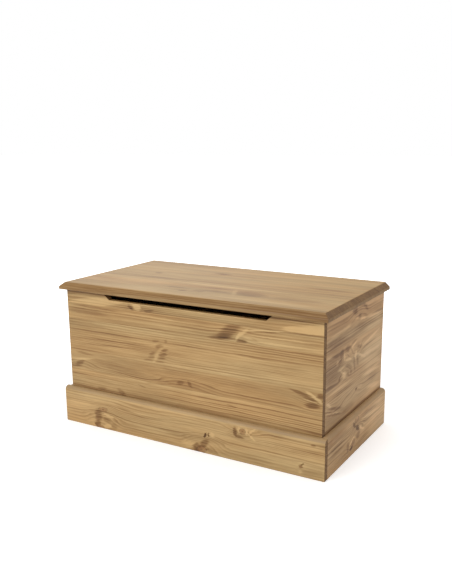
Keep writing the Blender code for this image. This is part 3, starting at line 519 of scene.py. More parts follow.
def spread_top(piece, across, deep, centre, rise=0.0):
    """Makes the top face wider or narrower about a point, on a new layer if it is to rise."""
    shape = edit(piece, "FACE")
    for face in shape.faces:
        if face.normal.z > UPWARD:
            face.select_set(True)
    bmesh.update_edit_mesh(piece.data)
    if rise:
        bpy.ops.mesh.extrude_region_move(TRANSFORM_OT_translate={"value": (0, 0, rise)})
    bpy.ops.transform.resize(value=(across, deep, 1), center_override=centre)
    bpy.ops.object.mode_set(mode="OBJECT")


def apply_modifier(piece, kind, **settings):
    pick(piece)
    bpy.ops.object.modifier_add(type=kind)
    modifier = piece.modifiers[-1]
    for setting, value in settings.items():
        setattr(modifier, setting, value)
    bpy.ops.object.modifier_apply(modifier=modifier.name)


def carve(piece, tools, operation="DIFFERENCE"):
    """Cuts shapes out of a piece, or joins them to it, and takes the shapes away."""
    for tool in tools:
        apply_modifier(piece, "BOOLEAN", object=tool, operation=operation, solver="EXACT")
        if not piece.data.polygons:
            raise RuntimeError(f"{tool.name} left nothing of {piece.name}")
        bpy.data.objects.remove(tool, do_unlink=True)


def smooth(piece, angle=35):
    pick(piece)
    bpy.ops.object.shade_smooth_by_angle(angle=math.radians(angle))
    apply_modifier(piece, "WEIGHTED_NORMAL", keep_sharp=True)


def soften(piece, width, segments=3, angle=30):
    """Rounds every edge that is sharper than an angle, then shades the piece smooth."""
    edges = {"limit_method": "ANGLE", "angle_limit": math.radians(angle), "miter_outer": "MITER_ARC"}
    apply_modifier(piece, "BEVEL", width=width, segments=segments, **edges)
    smooth(piece)


def copy_of(piece, name, matrix):
    """A copy with its own mesh, moved from where the piece is by a matrix."""
    pick(piece)
    bpy.ops.object.duplicate(linked=False)
    return move(name_new(name), matrix)


def dress(piece, finish, node):
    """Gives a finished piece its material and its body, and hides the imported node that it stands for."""
    piece.data.materials.clear()
    piece.data.materials.append(finish)
    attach(piece, NODE_BODY[node])
    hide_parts(node)


# Wiring shader nodes


class Wire:
    """What a node puts out. The signs + - * / add the node that works the sum out."""

    def __init__(self, wires, socket):
        self.wires = wires
        self.socket = socket

    def __add__(self, other):
        return self.wires.math("ADD", self, other)

    def __sub__(self, other):
        return self.wires.math("SUBTRACT", self, other)

    def __rsub__(self, other):
        return self.wires.math("SUBTRACT", other, self)

    def __mul__(self, other):
        return self.wires.math("MULTIPLY", self, other)

    def __truediv__(self, other):
        return self.wires.math("DIVIDE", self, other)


class Wiring:
    """Adds nodes to one tree. What they take is either plain values or wires."""

    def __init__(self, tree):
        self.tree = tree

    def feed(self, node, inputs):
        """Feeds a node's inputs in their order, or by name where a dictionary names them."""
        named = inputs if isinstance(inputs, dict) else dict(enumerate(inputs))
        for label, value in named.items():
            if isinstance(value, Wire):
                self.tree.links.new(value.socket, node.inputs[label])
            else:
                node.inputs[label].default_value = value

    def add(self, kind, inputs=(), **settings):
        """Adds a node, and gives what it puts out by name."""
        node = self.tree.nodes.new(kind)
        for setting, value in settings.items():
            setattr(node, setting, value)
        self.feed(node, inputs)
        return {socket.name: Wire(self, socket) for socket in node.outputs if socket.enabled}

    def math(self, operation, *values):
        """A Math node, or a Vector Math node where one of the values is a vector."""
        vectors = any(isinstance(value, Wire) and value.socket.type == "VECTOR" for value in values)
        kind = "ShaderNodeVectorMath" if vectors else "ShaderNodeMath"
        (result,) = self.add(kind, values, operation=operation).values()
        return result

    def split(self, vector):
        return self.add("ShaderNodeSeparateXYZ", [vector])

    def join(self, *parts):
        return self.add("ShaderNodeCombineXYZ", parts)["Vector"]

    def noise(self, place, seed, detail=2.0):
        inputs = {"Vector": place, "W": seed, "Scale": 1.0, "Detail": detail}
        return self.add("ShaderNodeTexNoise", inputs, noise_dimensions="4D")["Fac"]

    def ramp(self, value, low, high, first=0.0, second=1.0):
        """A soft step from one value to another between two bounds."""
        inputs = (value, low, high, first, second)
        return self.add("ShaderNodeMapRange", inputs, interpolation_type="SMOOTHSTEP")["Result"]

    def mix(self, share, first, second, blend="MIX"):
        """Mixes two colours by a share, which the node keeps between 0 and 1."""
        inputs = {0: share, 6: first, 7: second}
        return self.add("ShaderNodeMix", inputs, data_type="RGBA", blend_type=blend)["Result"]

    def group(self, make, **values):
        """Places a shader group. What it takes and gives is named here as in the function that wires it."""
        inputs = {socket_title(label): value for label, value in values.items()}
        outputs = self.add("ShaderNodeGroup", inputs, node_tree=make())
        return {label.lower(): wire for label, wire in outputs.items()}


def socket_title(label):
    return label.replace("_", " ").title()


def socket_kind(default):
    """The socket for a group's input: three numbers make a vector, four a colour and one a value."""
    if isinstance(default, tuple):
        return "NodeSocketVector" if len(default) == 3 else "NodeSocketColor"
    return "NodeSocketFloat"


def shader_group(name, **inputs):
    """Makes a group of a function that wires its results, once for all the materials that use it."""
    kinds = {"VALUE": "NodeSocketFloat", "VECTOR": "NodeSocketVector", "RGBA": "NodeSocketColor"}

    def around(wire_results):
        @cache
        def make():
            tree = bpy.data.node_groups.new(name, "ShaderNodeTree")
            for label, default in inputs.items():
                socket = tree.interface.new_socket(
                    socket_title(label), in_out="INPUT", socket_type=socket_kind(default)
                )
                socket.default_value = default
            wires = Wiring(tree)
            sockets = wires.add("NodeGroupInput")
            given = {label: sockets[socket_title(label)] for label in inputs}
            results = wire_results(wires, SimpleNamespace(**given))
            for label, wire in results.items():
                kind = kinds[wire.socket.type]
                tree.interface.new_socket(socket_title(label), in_out="OUTPUT", socket_type=kind)
            wires.add("NodeGroupOutput", results.values())
            return tree

        return make

    return around


OVAL = dict(place=(0, 0, 0), centre=(0, 0, 0), size=(1, 1, 1), tilt=0.0, stave=0.0, own_stave=0.0)


def oval_distance(wires, given):
    """How far off an oval's middle is, with 1 at its edge, the offset itself, and 1 on the oval's stave."""
    offset = (given.place - given.centre) * (1, 1, 0)
    inputs = {"Vector": offset, "Angle": given.tilt * -1.0}
    turned_back = wires.add("ShaderNodeVectorRotate", inputs, rotation_type="Z_AXIS")["Vector"]
    distance = wires.math("LENGTH", turned_back / given.size)
    return distance, offset, wires.math("COMPARE", given.stave, given.own_stave, 0.5)


@shader_group("Soft Mark", **OVAL, soft=1.0, strength=0.0, sum=0.0)
def soft_mark(wires, given):
    """Adds one soft oval to a running sum, for dark and pale patches and for bends in the rings.

    The softer it is, the further inside its edge it starts to fade, and the further outside it ends.
    """
    distance, _, own = oval_distance(wires, given)
    inside = wires.ramp(distance, given.soft * -0.85 + 1.0, given.soft * 0.25 + 1.0, 1.0, 0.0)
    return {"sum": inside * own * given.strength + given.sum}


@shader_group("Pine Knot", **OVAL, flow=0.0, heart=0.0, rim=0.0)
def pine_knot(wires, given):
    """Adds one knot: its heart, its bark and rings, and the way that the grain flows round it."""
    distance, offset, own = oval_distance(wires, given)
    breaks = wires.noise(given.place * (150, 150, 150), 4.0)
    heart = wires.ramp(distance, *KNOT_EDGE, 1.0, 0.0) * own
    bark = wires.ramp(wires.math("ABSOLUTE", distance - 1.0), *KNOT_BARK, 1.0, 0.0)
    bark = bark * wires.ramp(breaks, 0.38, 0.58, 0.15, 1.0) * own
    rings = wires.math("SINE", breaks * 4.0 + distance * KNOT_RINGS) * 0.5 + 0.5
    core = wires.ramp(distance, *KNOT_CORE, 0.75, 0.0) * own
    rim = wires.math("MAXIMUM", bark, wires.math("MAXIMUM", rings * heart * 0.42, core))
    reach = wires.math("EXPONENT", distance * distance * KNOT_REACH)
    push = wires.split(offset)["Y"] * reach * own
    return {
        "flow": push * KNOT_PUSH + given.flow,
        "heart": wires.math("MAXIMUM", heart, given.heart),
        "rim": wires.math("MAXIMUM", rim, given.rim),
    }


@shader_group("Pine Figure", place=(0, 0, 0), flow=0.0, seed=0.0, pitch=0.0060)
def pine_figure(wires, given):
    """Growth rings that run along the board, with slow changes of tone and fine fibres."""
    axes = wires.split(given.place)

    def streaks(along, across, shift):
        """A noise by its changes per metre along and across the grain, and how far its seed is shifted."""
        return wires.noise(given.place * (along, across, across), given.seed + shift)

    # Metres across the rings, which waver along the board and slant through its thickness
    slow = (streaks(2.0, 7.0, 0.0) - 0.5) * 0.012
    quick = (streaks(14.0, 45.0, 3.1) - 0.5) * 0.0030
    ring_place = axes["Y"] + axes["Z"] * 0.35 + given.flow + slow + quick
    count = ring_place / given.pitch + streaks(0.8, 22.0, 5.7) * 6.0
    phase = wires.math("FRACT", count)
    # Each ring darkens slowly, ends sharply, and is darker or fainter than the last by its own weight
    late = wires.ramp(phase, 0.05, 0.80) * wires.ramp(phase, 0.80, 1.0, 1.0, 0.0)
    year = {"W": wires.math("FLOOR", count) + given.seed}
    weight = wires.add("ShaderNodeTexWhiteNoise", year, noise_dimensions="1D")["Value"] + 0.10
    fade = wires.ramp(streaks(3.0, 30.0, 9.4), 0.32, 0.62, 0.25, 1.0)
    fibre = streaks(45.0, 900.0, 17.0) * 0.25 + streaks(14.0, 300.0, 19.0) * 0.40
    return {
        "ring": late * weight * fade,
        "tone": streaks(2.4, 15.0, 13.0),
        "fibre": fibre + streaks(5.0, 120.0, 29.0) * 0.35,
        "hue": streaks(2.0, 16.0, 23.0),
    }


@shader_group("Facing", normal=(0, 0, 1), direction=(1, 0, 0), least=0.3, most=0.6)
def facing(wires, given):
    """1 where the surface faces along a direction, such as on the sawn ends of a board, and 0 elsewhere."""
    share = wires.math("ABSOLUTE", wires.math("DOT_PRODUCT", given.normal, given.direction))
    return {"share": wires.ramp(share, given.least, given.most)}


@shader_group(
    "Waxed Pine", ring=0.0, tone=0.5, fibre=0.5, hue=0.5, marks=0.0, heart=0.0, rim=0.0, end=0.0, stain=0.0,
    contrast=1.0, gloss=0.42, pale=WHITE, middle=WHITE, dark=WHITE, deep=WHITE, knot=WHITE,
    stain_colour=WHITE, end_colour=WHITE,
)
def waxed_pine(wires, given):
    """Turns the masks of a board into its colour, its roughness and the height of its surface."""
    ring, fibre = given.ring, given.fibre
    # The shade is 0 on the palest wood, 0.5 on its body, 1 on late wood and 2 where it is deep brown
    grain = ring * 0.70 - 0.12 + (given.tone - 0.5) * 0.90 + (fibre - 0.5) * 1.25
    shade = grain * given.contrast + given.marks * (ring * 0.5 + fibre + 0.28) + 0.47
    wood = wires.mix(shade * 2.0, given.pale, given.middle)
    wood = wires.mix(shade * 2.0 - 1.0, wood, given.dark)
    wood = wires.mix(shade * 1.2 - 1.2, wood, given.deep)
    wood = wires.mix(given.heart * 0.45, wood, given.knot)
    wood = wires.mix(given.rim * 0.7, wood, given.deep)
    warmth = wires.mix(wires.ramp(given.hue, 0.30, 0.70), (0.96, 1.01, 1.04, 1), (1.04, 0.99, 0.93, 1))
    wood = wires.mix(1.0, wood, warmth, "MULTIPLY")
    # In the lid's moulding this mixes in stain; on the plinth's rounded edge it mixes in a painted sheen
    wood = wires.mix(given.stain * (fibre * 1.3 + ring * 0.4), wood, given.stain_colour)
    sawn = wires.mix(fibre * 2.2 + ring * -0.30 - 0.86, given.end_colour, given.middle)
    return {
        "color": wires.mix(given.end * 0.9, wood, sawn),
        "roughness": given.end * 0.30 + fibre * 0.16 + given.gloss,
        "height": given.rim * -0.5 + fibre * 0.5 + ring * 0.4,
    }


@shader_group("Plated Metal", place=(0, 0, 0), base=WHITE, stretch=(1, 1, 1))
def plated_metal(wires, given):
    """Slight changes of colour and polish on plated metal, with fine rolling marks."""
    cloud = wires.noise(given.place * CLOUD, 2.0, detail=3.0)
    lines = wires.noise(given.place * given.stretch, 5.0)
    return {
        "color": wires.mix(wires.ramp(cloud, 0.35, 0.75, 0.0, 0.35), given.base, (0.30, 0.24, 0.18, 1)),
        "roughness": lines * 0.10 + cloud * 0.22 + 0.20,
        "height": lines,
    }


# Finishes


def opaque(shade, tint=(1, 1, 1)):
    """A colour of the settings, tinted, with nothing seen through it."""
    return (*(min(1.0, part * share) for part, share in zip(shade, tint)), 1.0)


def new_material(name):
    material = bpy.data.materials.new(name)
    material.use_nodes = True
    wires = Wiring(material.node_tree)
    return material, wires, wires.add("ShaderNodeTexCoord")


def finish(material, wires, effect, relief, depth, constants):
    """Feeds what a group gives, and some constants, to the material's own shader."""
    bump = wires.add("ShaderNodeBump", {"Strength": relief, "Distance": depth, "Height": effect["height"]})
    looks = {"Base Color": effect["color"], "Roughness": effect["roughness"], "Normal": bump["Normal"]}
    wires.feed(material.node_tree.nodes["Principled BSDF"], {**looks, **constants})
    return material


def stave_layout(wires, across, figure):
    """Which stave a place lies on, counted from the low edge, and how far apart its rings lie."""
    stave, pitch = 0.0, figure.pitches[0] * MILLIMETRE
    for count, joint in enumerate(figure.joints, 1):
        above = wires.math("GREATER_THAN", across, joint * MILLIMETRE)
        own, lower = (figure.pitches[index % len(figure.pitches)] for index in (count, count - 1))
        stave = above + stave
        pitch = above * ((own - lower) * MILLIMETRE) + pitch
    return stave, pitch


@cache
def pine(name, figure):
    """Waxed pine with the figure, knots and staves of one board.

    A moulded edge takes up more stain, and on a rounded one a greyer colour is painted on as the sheen of
    the light.
    """
    colours = bpy.context.scene.trunk_colours
    material, wires, coordinates = new_material(name)
    axes = wires.split(coordinates["Object"])
    through = ({"X", "Y", "Z"} - {figure.grain, figure.width}).pop()
    place = wires.join(axes[figure.grain], axes[figure.width], axes[through])
    stave, pitch = stave_layout(wires, axes[figure.width], figure)

    # The edges of marks are feathered by millimetres, mostly along the grain, and those of knots by less
    ripple = wires.noise(place * RIPPLE, figure.seed, detail=3.0) - 0.5
    streak = wires.noise(place * STREAK, figure.seed + 0.7) - 0.5
    swing = ripple * 0.011
    feathered = place + wires.join(streak * 0.013 + swing, swing * 0.45, 0.0)
    quivering = place + wires.join(swing * 0.3, swing * 0.3, 0.0)

    def oval(group, spot, spot_place, **running):
        return wires.group(
            group,
            place=spot_place,
            centre=(spot.along * MILLIMETRE, spot.across * MILLIMETRE, 0.0),
            size=(spot.half_length * MILLIMETRE, spot.half_width * MILLIMETRE, 1.0),
            tilt=math.radians(spot.tilt),
            stave=stave,
            own_stave=float(sum(spot.across > joint for joint in figure.joints)),
            **running,
        )

    knots = {"flow": 0.0, "heart": 0.0, "rim": 0.0}
    for row in figure.knots:
        knots = oval(pine_knot, Spot(*row), quivering, **knots)
    flow, marks = knots.pop("flow"), 0.0
    for row in figure.bends:
        spot = Spot(*row)
        lift = spot.strength * MILLIMETRE
        flow = oval(soft_mark, spot, feathered, soft=1.0, strength=lift, sum=flow)["sum"]
    for row in figure.marks:
        spot = Spot(*row)
        marks = oval(soft_mark, spot, feathered, soft=spot.soft, strength=spot.strength, sum=marks)["sum"]
    seed = stave * 7.3 + figure.seed
    rings = wires.group(pine_figure, place=place, flow=flow, seed=seed, pitch=pitch)

    def facing_share(axis, least, most):
        way, normal = tuple(1.0 if axis == letter else 0.0 for letter in "XYZ"), coordinates["Normal"]
        return wires.group(facing, normal=normal, direction=way, least=least, most=most)["share"]

    end, stain = facing_share(figure.grain, *SAWN_END), 0.0
    if figure.edge == "rounded":
        # On a rounded edge this mask paints a sheen, greyer wood where the rounding faces up
        stain = facing_share("Z", *SHEEN_ON_ROUNDING)
    elif figure.edge == "moulded":
        slope = facing_share("Z", *MOULD_SLOPE)
        stain = (slope * MOULD_STAIN[1] + MOULD_STAIN[0]) * facing_share("Z", *BELOW_THE_TOP)
        end = end * (slope * MOULD_END_GRAIN[1] + MOULD_END_GRAIN[0])
    pale_tint, dark_tint = figure.tints
    middle_tint = [(light + heavy) / 2 for light, heavy in zip(pale_tint, dark_tint)]
    wood = wires.group(
        waxed_pine,
        **rings,
        **knots,
        marks=marks,
        end=end,
        stain=stain,
        contrast=figure.contrast,
        gloss=figure.gloss,
        pale=opaque(colours.pale, pale_tint),
        middle=opaque(colours.middle, middle_tint),
        dark=opaque(colours.dark, dark_tint),
        deep=opaque(colours.deep),
        knot=opaque(colours.knot),
        # On a rounded edge the colour of the painted sheen, in a moulding that of the stain
        stain_colour=opaque(colours.painted_sheen if figure.edge == "rounded" else colours.stain),
        end_colour=opaque(colours.end_grain),
    )
    constants = {"Specular IOR Level": 0.4 if figure.edge == "moulded" else 0.3}
    return finish(material, wires, wood, relief=0.25, depth=0.0004, constants=constants)


def batten_pine(figure):
    return pine("batten_pine_" + figure.grain.lower(), figure)


@cache
def plated(name):
    """Plated metal with fine marks, which run in one direction on rolled metal."""
    colours = bpy.context.scene.trunk_colours
    base = colours.brass if name == "plated_brass" else colours.zinc
    stretch = BRUSHED if name == "rolled_zinc" else EVEN
    material, wires, coordinates = new_material(name)
    metal = wires.group(plated_metal, place=coordinates["Object"], base=opaque(base), stretch=stretch)
    return finish(material, wires, metal, relief=0.15, depth=0.0001, constants={"Metallic": 1.0})


# Shapes that several pieces share


def turned(name, rings, sides):
    """A round piece about Z, drawn out from a disc ring by ring. Each ring is a radius and a height."""
    radius, height = rings[0]
    clear_selection()
    place = (0, 0, height)
    bpy.ops.mesh.primitive_circle_add(vertices=sides, radius=radius, fill_type="NGON", location=place)
    piece = settle(name_new(name))
    bpy.ops.object.mode_set(mode="EDIT")
    bpy.ops.mesh.select_all(action="SELECT")
    for next_radius, next_height in rings[1:]:
        bpy.ops.mesh.extrude_region_move(TRANSFORM_OT_translate={"value": (0, 0, next_height - height)})
        share = next_radius / radius
        bpy.ops.transform.resize(value=(share, share, 1), center_override=(0, 0, next_height))
        radius, height = next_radius, next_height
    bpy.ops.mesh.select_all(action="SELECT")
    bpy.ops.mesh.normals_make_consistent(inside=False)
    bpy.ops.object.mode_set(mode="OBJECT")
    return piece


def cross_tools(recess, radius, height):
    """Two crossing bars that cut a screwdriver's recess into a head whose top is at the origin."""
    width, span, share = recess
    half, reach, depth = radius * width / 2, radius * span / 2, height * share
    return [
        block("recess_bar_1", (-reach, -half, -depth), (reach, half, depth)),
        block("recess_bar_2", (-half, -reach, -depth), (half, reach, depth)),
    ]


def pointing(place, direction, twist):
    """The matrix that takes a piece from the origin to a place, with its Z along a direction."""
    turn = Vector(direction).to_track_quat("Z", "Y").to_matrix().to_4x4()
    return Matrix.Translation(place) @ turn @ Matrix.Rotation(twist, 4, "Z")


def middle_and_span(node):
    low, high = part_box(node)
    return (low + high) / 2, high - low


def middle_of(node):
    return middle_and_span(node)[0]


def soft_block(name, node):
    """The block of a packed board, with its edges eased."""
    piece = block(name, *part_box(node))
    soften(piece, board_sizes().arris)
    return piece


def screw_nodes(holder, side_name):
    """The screws of a hinge leaf, fixed or moving, or those of a lid batten."""
    if holder == "batten":
        return [f"lid_batten_{side_name}_screw_{end}" for end in ENDS]
    return [f"hinge_{side_name}_{holder}_screw_{count}" for count in (1, 2, 3)]


def screw_stand(node):
    """Which way a screw points, up or down, where the flat top of its head is, and how long it is."""
    low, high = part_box(node)
    direction = -1 if "_fixed_" in node else 1
    top = (low + high) / 2
    top.z = low.z if direction > 0 else high.z
    return direction, top, high.z - low.z


def screw_radii(node):
    """The radii of a screw's shank and head."""
    sizes, kind = metal_sizes(), "hinge" if node.startswith("hinge") else "batten"
    return getattr(sizes, kind + "_screw_shank"), getattr(sizes, kind + "_screw_head")


def screw_seats(holder, side_name):
    """The cutters of the countersunk holes for the screws of one fitting."""
    gap, tools = board_sizes().clearance, []
    for node in screw_nodes(holder, side_name):
        direction, top, depth = screw_stand(node)
        narrow, wide = (radius + gap for radius in screw_radii(node))
        up, mouth = Vector((0, 0, direction)), gap * 2
        sink_end = top + up * (wide - narrow)
        tools += [
            rod(node + "_sink", top - up * mouth, sink_end, wide + mouth, narrow, sides=SMALL_ROUND),
            rod(node + "_hole", top, top + up * (depth + gap), narrow, sides=SMALL_ROUND),
        ]
    return tools


def cam_tool(node, face):
    """A round cutter for a cam's seat, which opens at the panel's face."""
    gap = board_sizes().clearance
    centre, span = middle_and_span(node)
    depth = abs(span.dot(face))
    bottom, mouth = centre - face * (depth / 2 + gap), centre + face * (depth / 2 + gap * 4)
    return rod(node + "_seat", bottom, mouth, span.z / 2 + gap, sides=LARGE_ROUND)


def bolt_tool(node):
    """A round cutter for the bore that a cam's bolt lies in."""
    gap = board_sizes().clearance
    centre, span = middle_and_span(node)
    along = Vector([1.0 if part == max(span) else 0.0 for part in span])
    reach = along * (max(span) / 2 + gap)
    return rod(node + "_bore", centre - reach, centre + reach, min(span) / 2 + gap, sides=SMALL_ROUND)


def corner_tools(side_name, end):
    """The bores of the bolts at one upright corner of the trunk."""
    return [bolt_tool(f"cam_bolt_{end}_{side_name}_{level}") for level in LEVELS]


def shank_tool(node, direction):
    """A round cutter for the hole that the shank of a stay's screw sits in, which runs along X."""
    gap = board_sizes().clearance
    centre, span = middle_and_span(node)
    end = centre + Vector((direction * (span.x / 2 + gap), 0, 0))
    return rod(node + "_hole", centre, end, metal_sizes().stay_shank + gap, sides=SMALL_ROUND)


def leaf_seat(side_name, kind, wood):
    """The recess for a hinge leaf, open at the back, under the lid or in the back board's top edge."""
    sizes, gap, lift = metal_sizes(), board_sizes().clearance, dict(LEAVES)[kind]
    wood_low, wood_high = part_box(wood)
    low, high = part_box(f"hinge_{side_name}_{kind}_leaf")
    half, middle = sizes.hinge_length / 2 + gap, (low.x + high.x) / 2
    face = wood_low.z if lift > 0 else wood_high.z
    bottom, top = sorted((face + lift * (sizes.leaf_thickness + gap), face - lift * gap * 4))
    return block(
        f"{side_name}_{kind}_seat",
        (middle - half, low.y - gap, bottom),
        (middle + half, wood_high.y + gap * 4, top),
    )


def slot_tool(low, high):
    """The finger slot's cutter: a block that widens upwards, with its lower corners rounded."""
    sizes = board_sizes()
    half, floor = sizes.slot_width / 2, high.z - sizes.slot_depth
    over = sizes.slot_depth / 4
    tool = block("slot_tool", (-half, low.y - over, floor), (half, high.y + over, high.z + over))
    spread = half + sizes.slot_run * (sizes.slot_depth + over) / sizes.slot_depth
    spread_top(tool, spread / half, 1, (0, 0, 0))

    def lower_corner(a, b):
        return max(a.z, b.z) < floor + over and a.x * b.x > 0

    bevel_edges(tool, lower_corner, sizes.slot_corner, segments=6)
    return tool


# Operators


class TrunkOperator:
    """What all the trunk's operators have in common."""

    bl_options = {"REGISTER", "UNDO"}


class TRUNK_OT_stage(TrunkOperator, bpy.types.Operator):
    """Set up the floor, the surround, the lamps and the camera"""

    bl_idname = "trunk.stage"
    bl_label = "Studio"

    def execute(self, context):
        studio = context.scene.trunk_studio
        self.make_floor(context, studio)
        self.make_surround(context, studio)
        for name in ("key", "top", "sheen"):
            place, size, power = (getattr(studio, name + part) for part in ("_place", "_size", "_power"))
            self.add_lamp(name + "_lamp", place, size, power)
        self.add_camera(context, studio)
        context.scene.view_settings.view_transform = "Standard"
        return {"FINISHED"}

    def make_floor(self, context, studio):
        """A wide floor that the camera sees fade into the white surround."""
        clear_selection()
        bpy.ops.mesh.primitive_plane_add(size=FLOOR_SIZE, location=(0, 0, 0))
        floor = name_new("studio_floor")
        material, wires, coordinates = new_material("studio_floor")
        glow = wires.ramp(wires.math("LENGTH", coordinates["Object"]), *FLOOR_FADE, studio.floor_glow, 1.0)
        rays = wires.add("ShaderNodeLightPath")
        looks = {
            "Base Color": opaque(context.scene.trunk_colours.floor),
            "Roughness": 0.9,
            "Specular IOR Level": 0.0,
            "Emission Color": WHITE,
            "Emission Strength": rays["Is Camera Ray"] * glow,
        }
        wires.feed(material.node_tree.nodes["Principled BSDF"], looks)
        floor.data.materials.append(material)

    def make_surround(self, context, studio):
        """White where the camera sees it, and dimmer where it lights the trunk or is mirrored in it."""
        world = bpy.data.worlds.new("white_surround")
        world.use_nodes = True
        context.scene.world = world
        wires = Wiring(world.node_tree)
        rays = wires.add("ShaderNodeLightPath")
        seen = wires.math("MAXIMUM", rays["Is Camera Ray"], rays["Is Transmission Ray"])
        level = rays["Is Glossy Ray"] * (studio.reflected - studio.ambient) + studio.ambient
        looks = {"Color": WHITE, "Strength": seen * (1.0 - level) + level}
        wires.feed(world.node_tree.nodes["Background"], looks)

    def add_lamp(self, name, place, size, power):
        clear_selection()
        turn = (LAMP_AIM - Vector(place)).to_track_quat("-Z", "Y").to_euler()
        bpy.ops.object.light_add(type="AREA", location=place, rotation=turn)
        lamp = name_new(name)
        lamp.data.shape = "DISK"
        lamp.data.size = size
        lamp.data.energy = power
        lamp.visible_camera = False

    def add_camera(self, context, studio):
        clear_selection()
        turn = Matrix.Rotation(studio.yaw, 3, "Z") @ Matrix.Rotation(math.pi / 2 - studio.pitch, 3, "X")
        turn = turn @ Matrix.Rotation(-studio.roll, 3, "Z")
        bpy.ops.object.camera_add(location=studio.camera_place, rotation=turn.to_euler())
        camera = name_new("camera")
        camera.data.lens = studio.lens
        camera.data.sensor_width = studio.sensor
        camera.data.shift_x = studio.shift_x
        camera.data.shift_y = studio.shift_y
        context.scene.camera = camera


class TRUNK_OT_front_board(TrunkOperator, bpy.types.Operator):
    """Model the front board with its finger slot"""

    bl_idname = "trunk.front_board"
    bl_label = "Front Board"

    def execute(self, context):
        low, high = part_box("front_panel")
        board = block("front_board", low, high)
        carve(board, [slot_tool(low, high)])
        soften(board, board_sizes().arris)
        for name, _ in SIDES:
            carve(board, corner_tools(name, "front"))
        dress(board, pine("front_board_pine", FRONT_FIGURE), "front_panel")
        return {"FINISHED"}


class TRUNK_OT_side_boards(TrunkOperator, bpy.types.Operator):
    """Model both side boards with the seats of their fittings"""

    bl_idname = "trunk.side_boards"
    bl_label = "Side Boards"

    def execute(self, context):
        for (name, side), figure in zip(SIDES, (LEFT_SIDE_FIGURE, SIDE_FIGURE)):
            board = soft_block(name + "_side_board", name + "_side_panel")
            carve(board, [cam_tool(f"cam_front_{name}_{level}", Vector((-side, 0, 0))) for level in LEVELS])
            carve(board, corner_tools(name, "front") + corner_tools(name, "back"))
            carve(board, [shank_tool(f"stay_{name}_pin", side)])
            smooth(board)
            dress(board, pine(board.name + "_pine", figure), name + "_side_panel")
        return {"FINISHED"}


class TRUNK_OT_back_board(TrunkOperator, bpy.types.Operator):
    """Model the back board with the seats of the cams and the hinges"""

    bl_idname = "trunk.back_board"
    bl_label = "Back Board"

    def execute(self, context):
        board = soft_block("back_board", "back_panel")
        for name, _ in SIDES:
            carve(board, [cam_tool(f"cam_back_{name}_{level}", Vector((0, -1, 0))) for level in LEVELS])
            carve(board, corner_tools(name, "back"))
            carve(board, [leaf_seat(name, "fixed", "back_panel")] + screw_seats("fixed", name))
        smooth(board)
        dress(board, pine("back_board_pine", BACK_FIGURE), "back_panel")
        return {"FINISHED"}


class TRUNK_OT_base(TrunkOperator, bpy.types.Operator):
    """Model the base board and the four battens that it lies on"""

    bl_idname = "trunk.base"
    bl_label = "Base"

    def execute(self, context):
        board = soft_block("base_board", "base_panel")
        dress(board, pine("base_board_pine", BASE_FIGURE), "base_panel")
        for place in ("front", "back", "left", "right"):
            batten = soft_block(place + "_base_batten", "base_batten_" + place)
            wood = batten_pine(BATTEN_ALONG_X if place in ENDS else BATTEN_ALONG_Y)
            dress(batten, wood, "base_batten_" + place)
        return {"FINISHED"}


class TRUNK_OT_plinth(TrunkOperator, bpy.types.Operator):
    """Model the plinth's three boards, each rounded along its outer top edge"""

    bl_idname = "trunk.plinth"
    bl_label = "Plinth"

    def execute(self, context):
        self.make_board("front", Vector((0, -1, 0)), PLINTH_FRONT_FIGURE)
        self.make_board("left", Vector((-1, 0, 0)), PLINTH_LEFT_FIGURE)
        self.make_board("right", Vector((1, 0, 0)), PLINTH_SIDE_FIGURE)
        return {"FINISHED"}

    def make_board(self, place, outward, figure):
        sizes, node = board_sizes(), "plinth_" + place
        low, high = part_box(node)
        board = block(place + "_plinth_board", low, high)
        top, middle = high.z - sizes.arris, (low + high) / 2

        def outer_top(a, b):
            return min(a.z, b.z) > top and min((a - middle).dot(outward), (b - middle).dot(outward)) > 0

        bevel_edges(board, outer_top, sizes.plinth_round, segments=10)
        soften(board, sizes.arris)
        dress(board, pine(place + "_plinth_pine", figure), node)


class TRUNK_OT_lid(TrunkOperator, bpy.types.Operator):
    """Model the lid with its moulded front and side edges"""

    bl_idname = "trunk.lid"
    bl_label = "Lid"

    def execute(self, context):
        sizes = board_sizes()
        low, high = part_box("lid_panel")
        shoulder = low.z + sizes.edge_land
        lid = block("lid_board", low, (high.x, high.y, shoulder))
        across = 1 - sizes.mould_width / high.x
        deep = 1 - sizes.mould_width / (high.y - low.y)
        spread_top(lid, across, deep, (0, high.y, high.z), rise=high.z - shoulder)

        # How close an edge lies to a height or to the back to count as on it
        near = sizes.edge_land / 20
        back = high.y - near
        widths = (sizes.lid_top_round, sizes.lid_shoulder_round, sizes.lid_lower_round)
        for height, width in zip((high.z, shoulder, low.z), widths):

            def on_rim(a, b):
                return max(abs(a.z - height), abs(b.z - height)) < near and min(a.y, b.y) < back

            bevel_edges(lid, on_rim, width, segments=5)

        def at_the_back(a, b):
            return min(a.z, b.z) > high.z - near and min(a.y, b.y) > back

        bevel_edges(lid, at_the_back, sizes.lid_arris, segments=2)
        for name, _ in SIDES:
            carve(lid, [leaf_seat(name, "moving", "lid_panel")])
            carve(lid, screw_seats("moving", name) + screw_seats("batten", name))
        smooth(lid)
        dress(lid, pine("lid_pine", LID_FIGURE), "lid_panel")
        return {"FINISHED"}


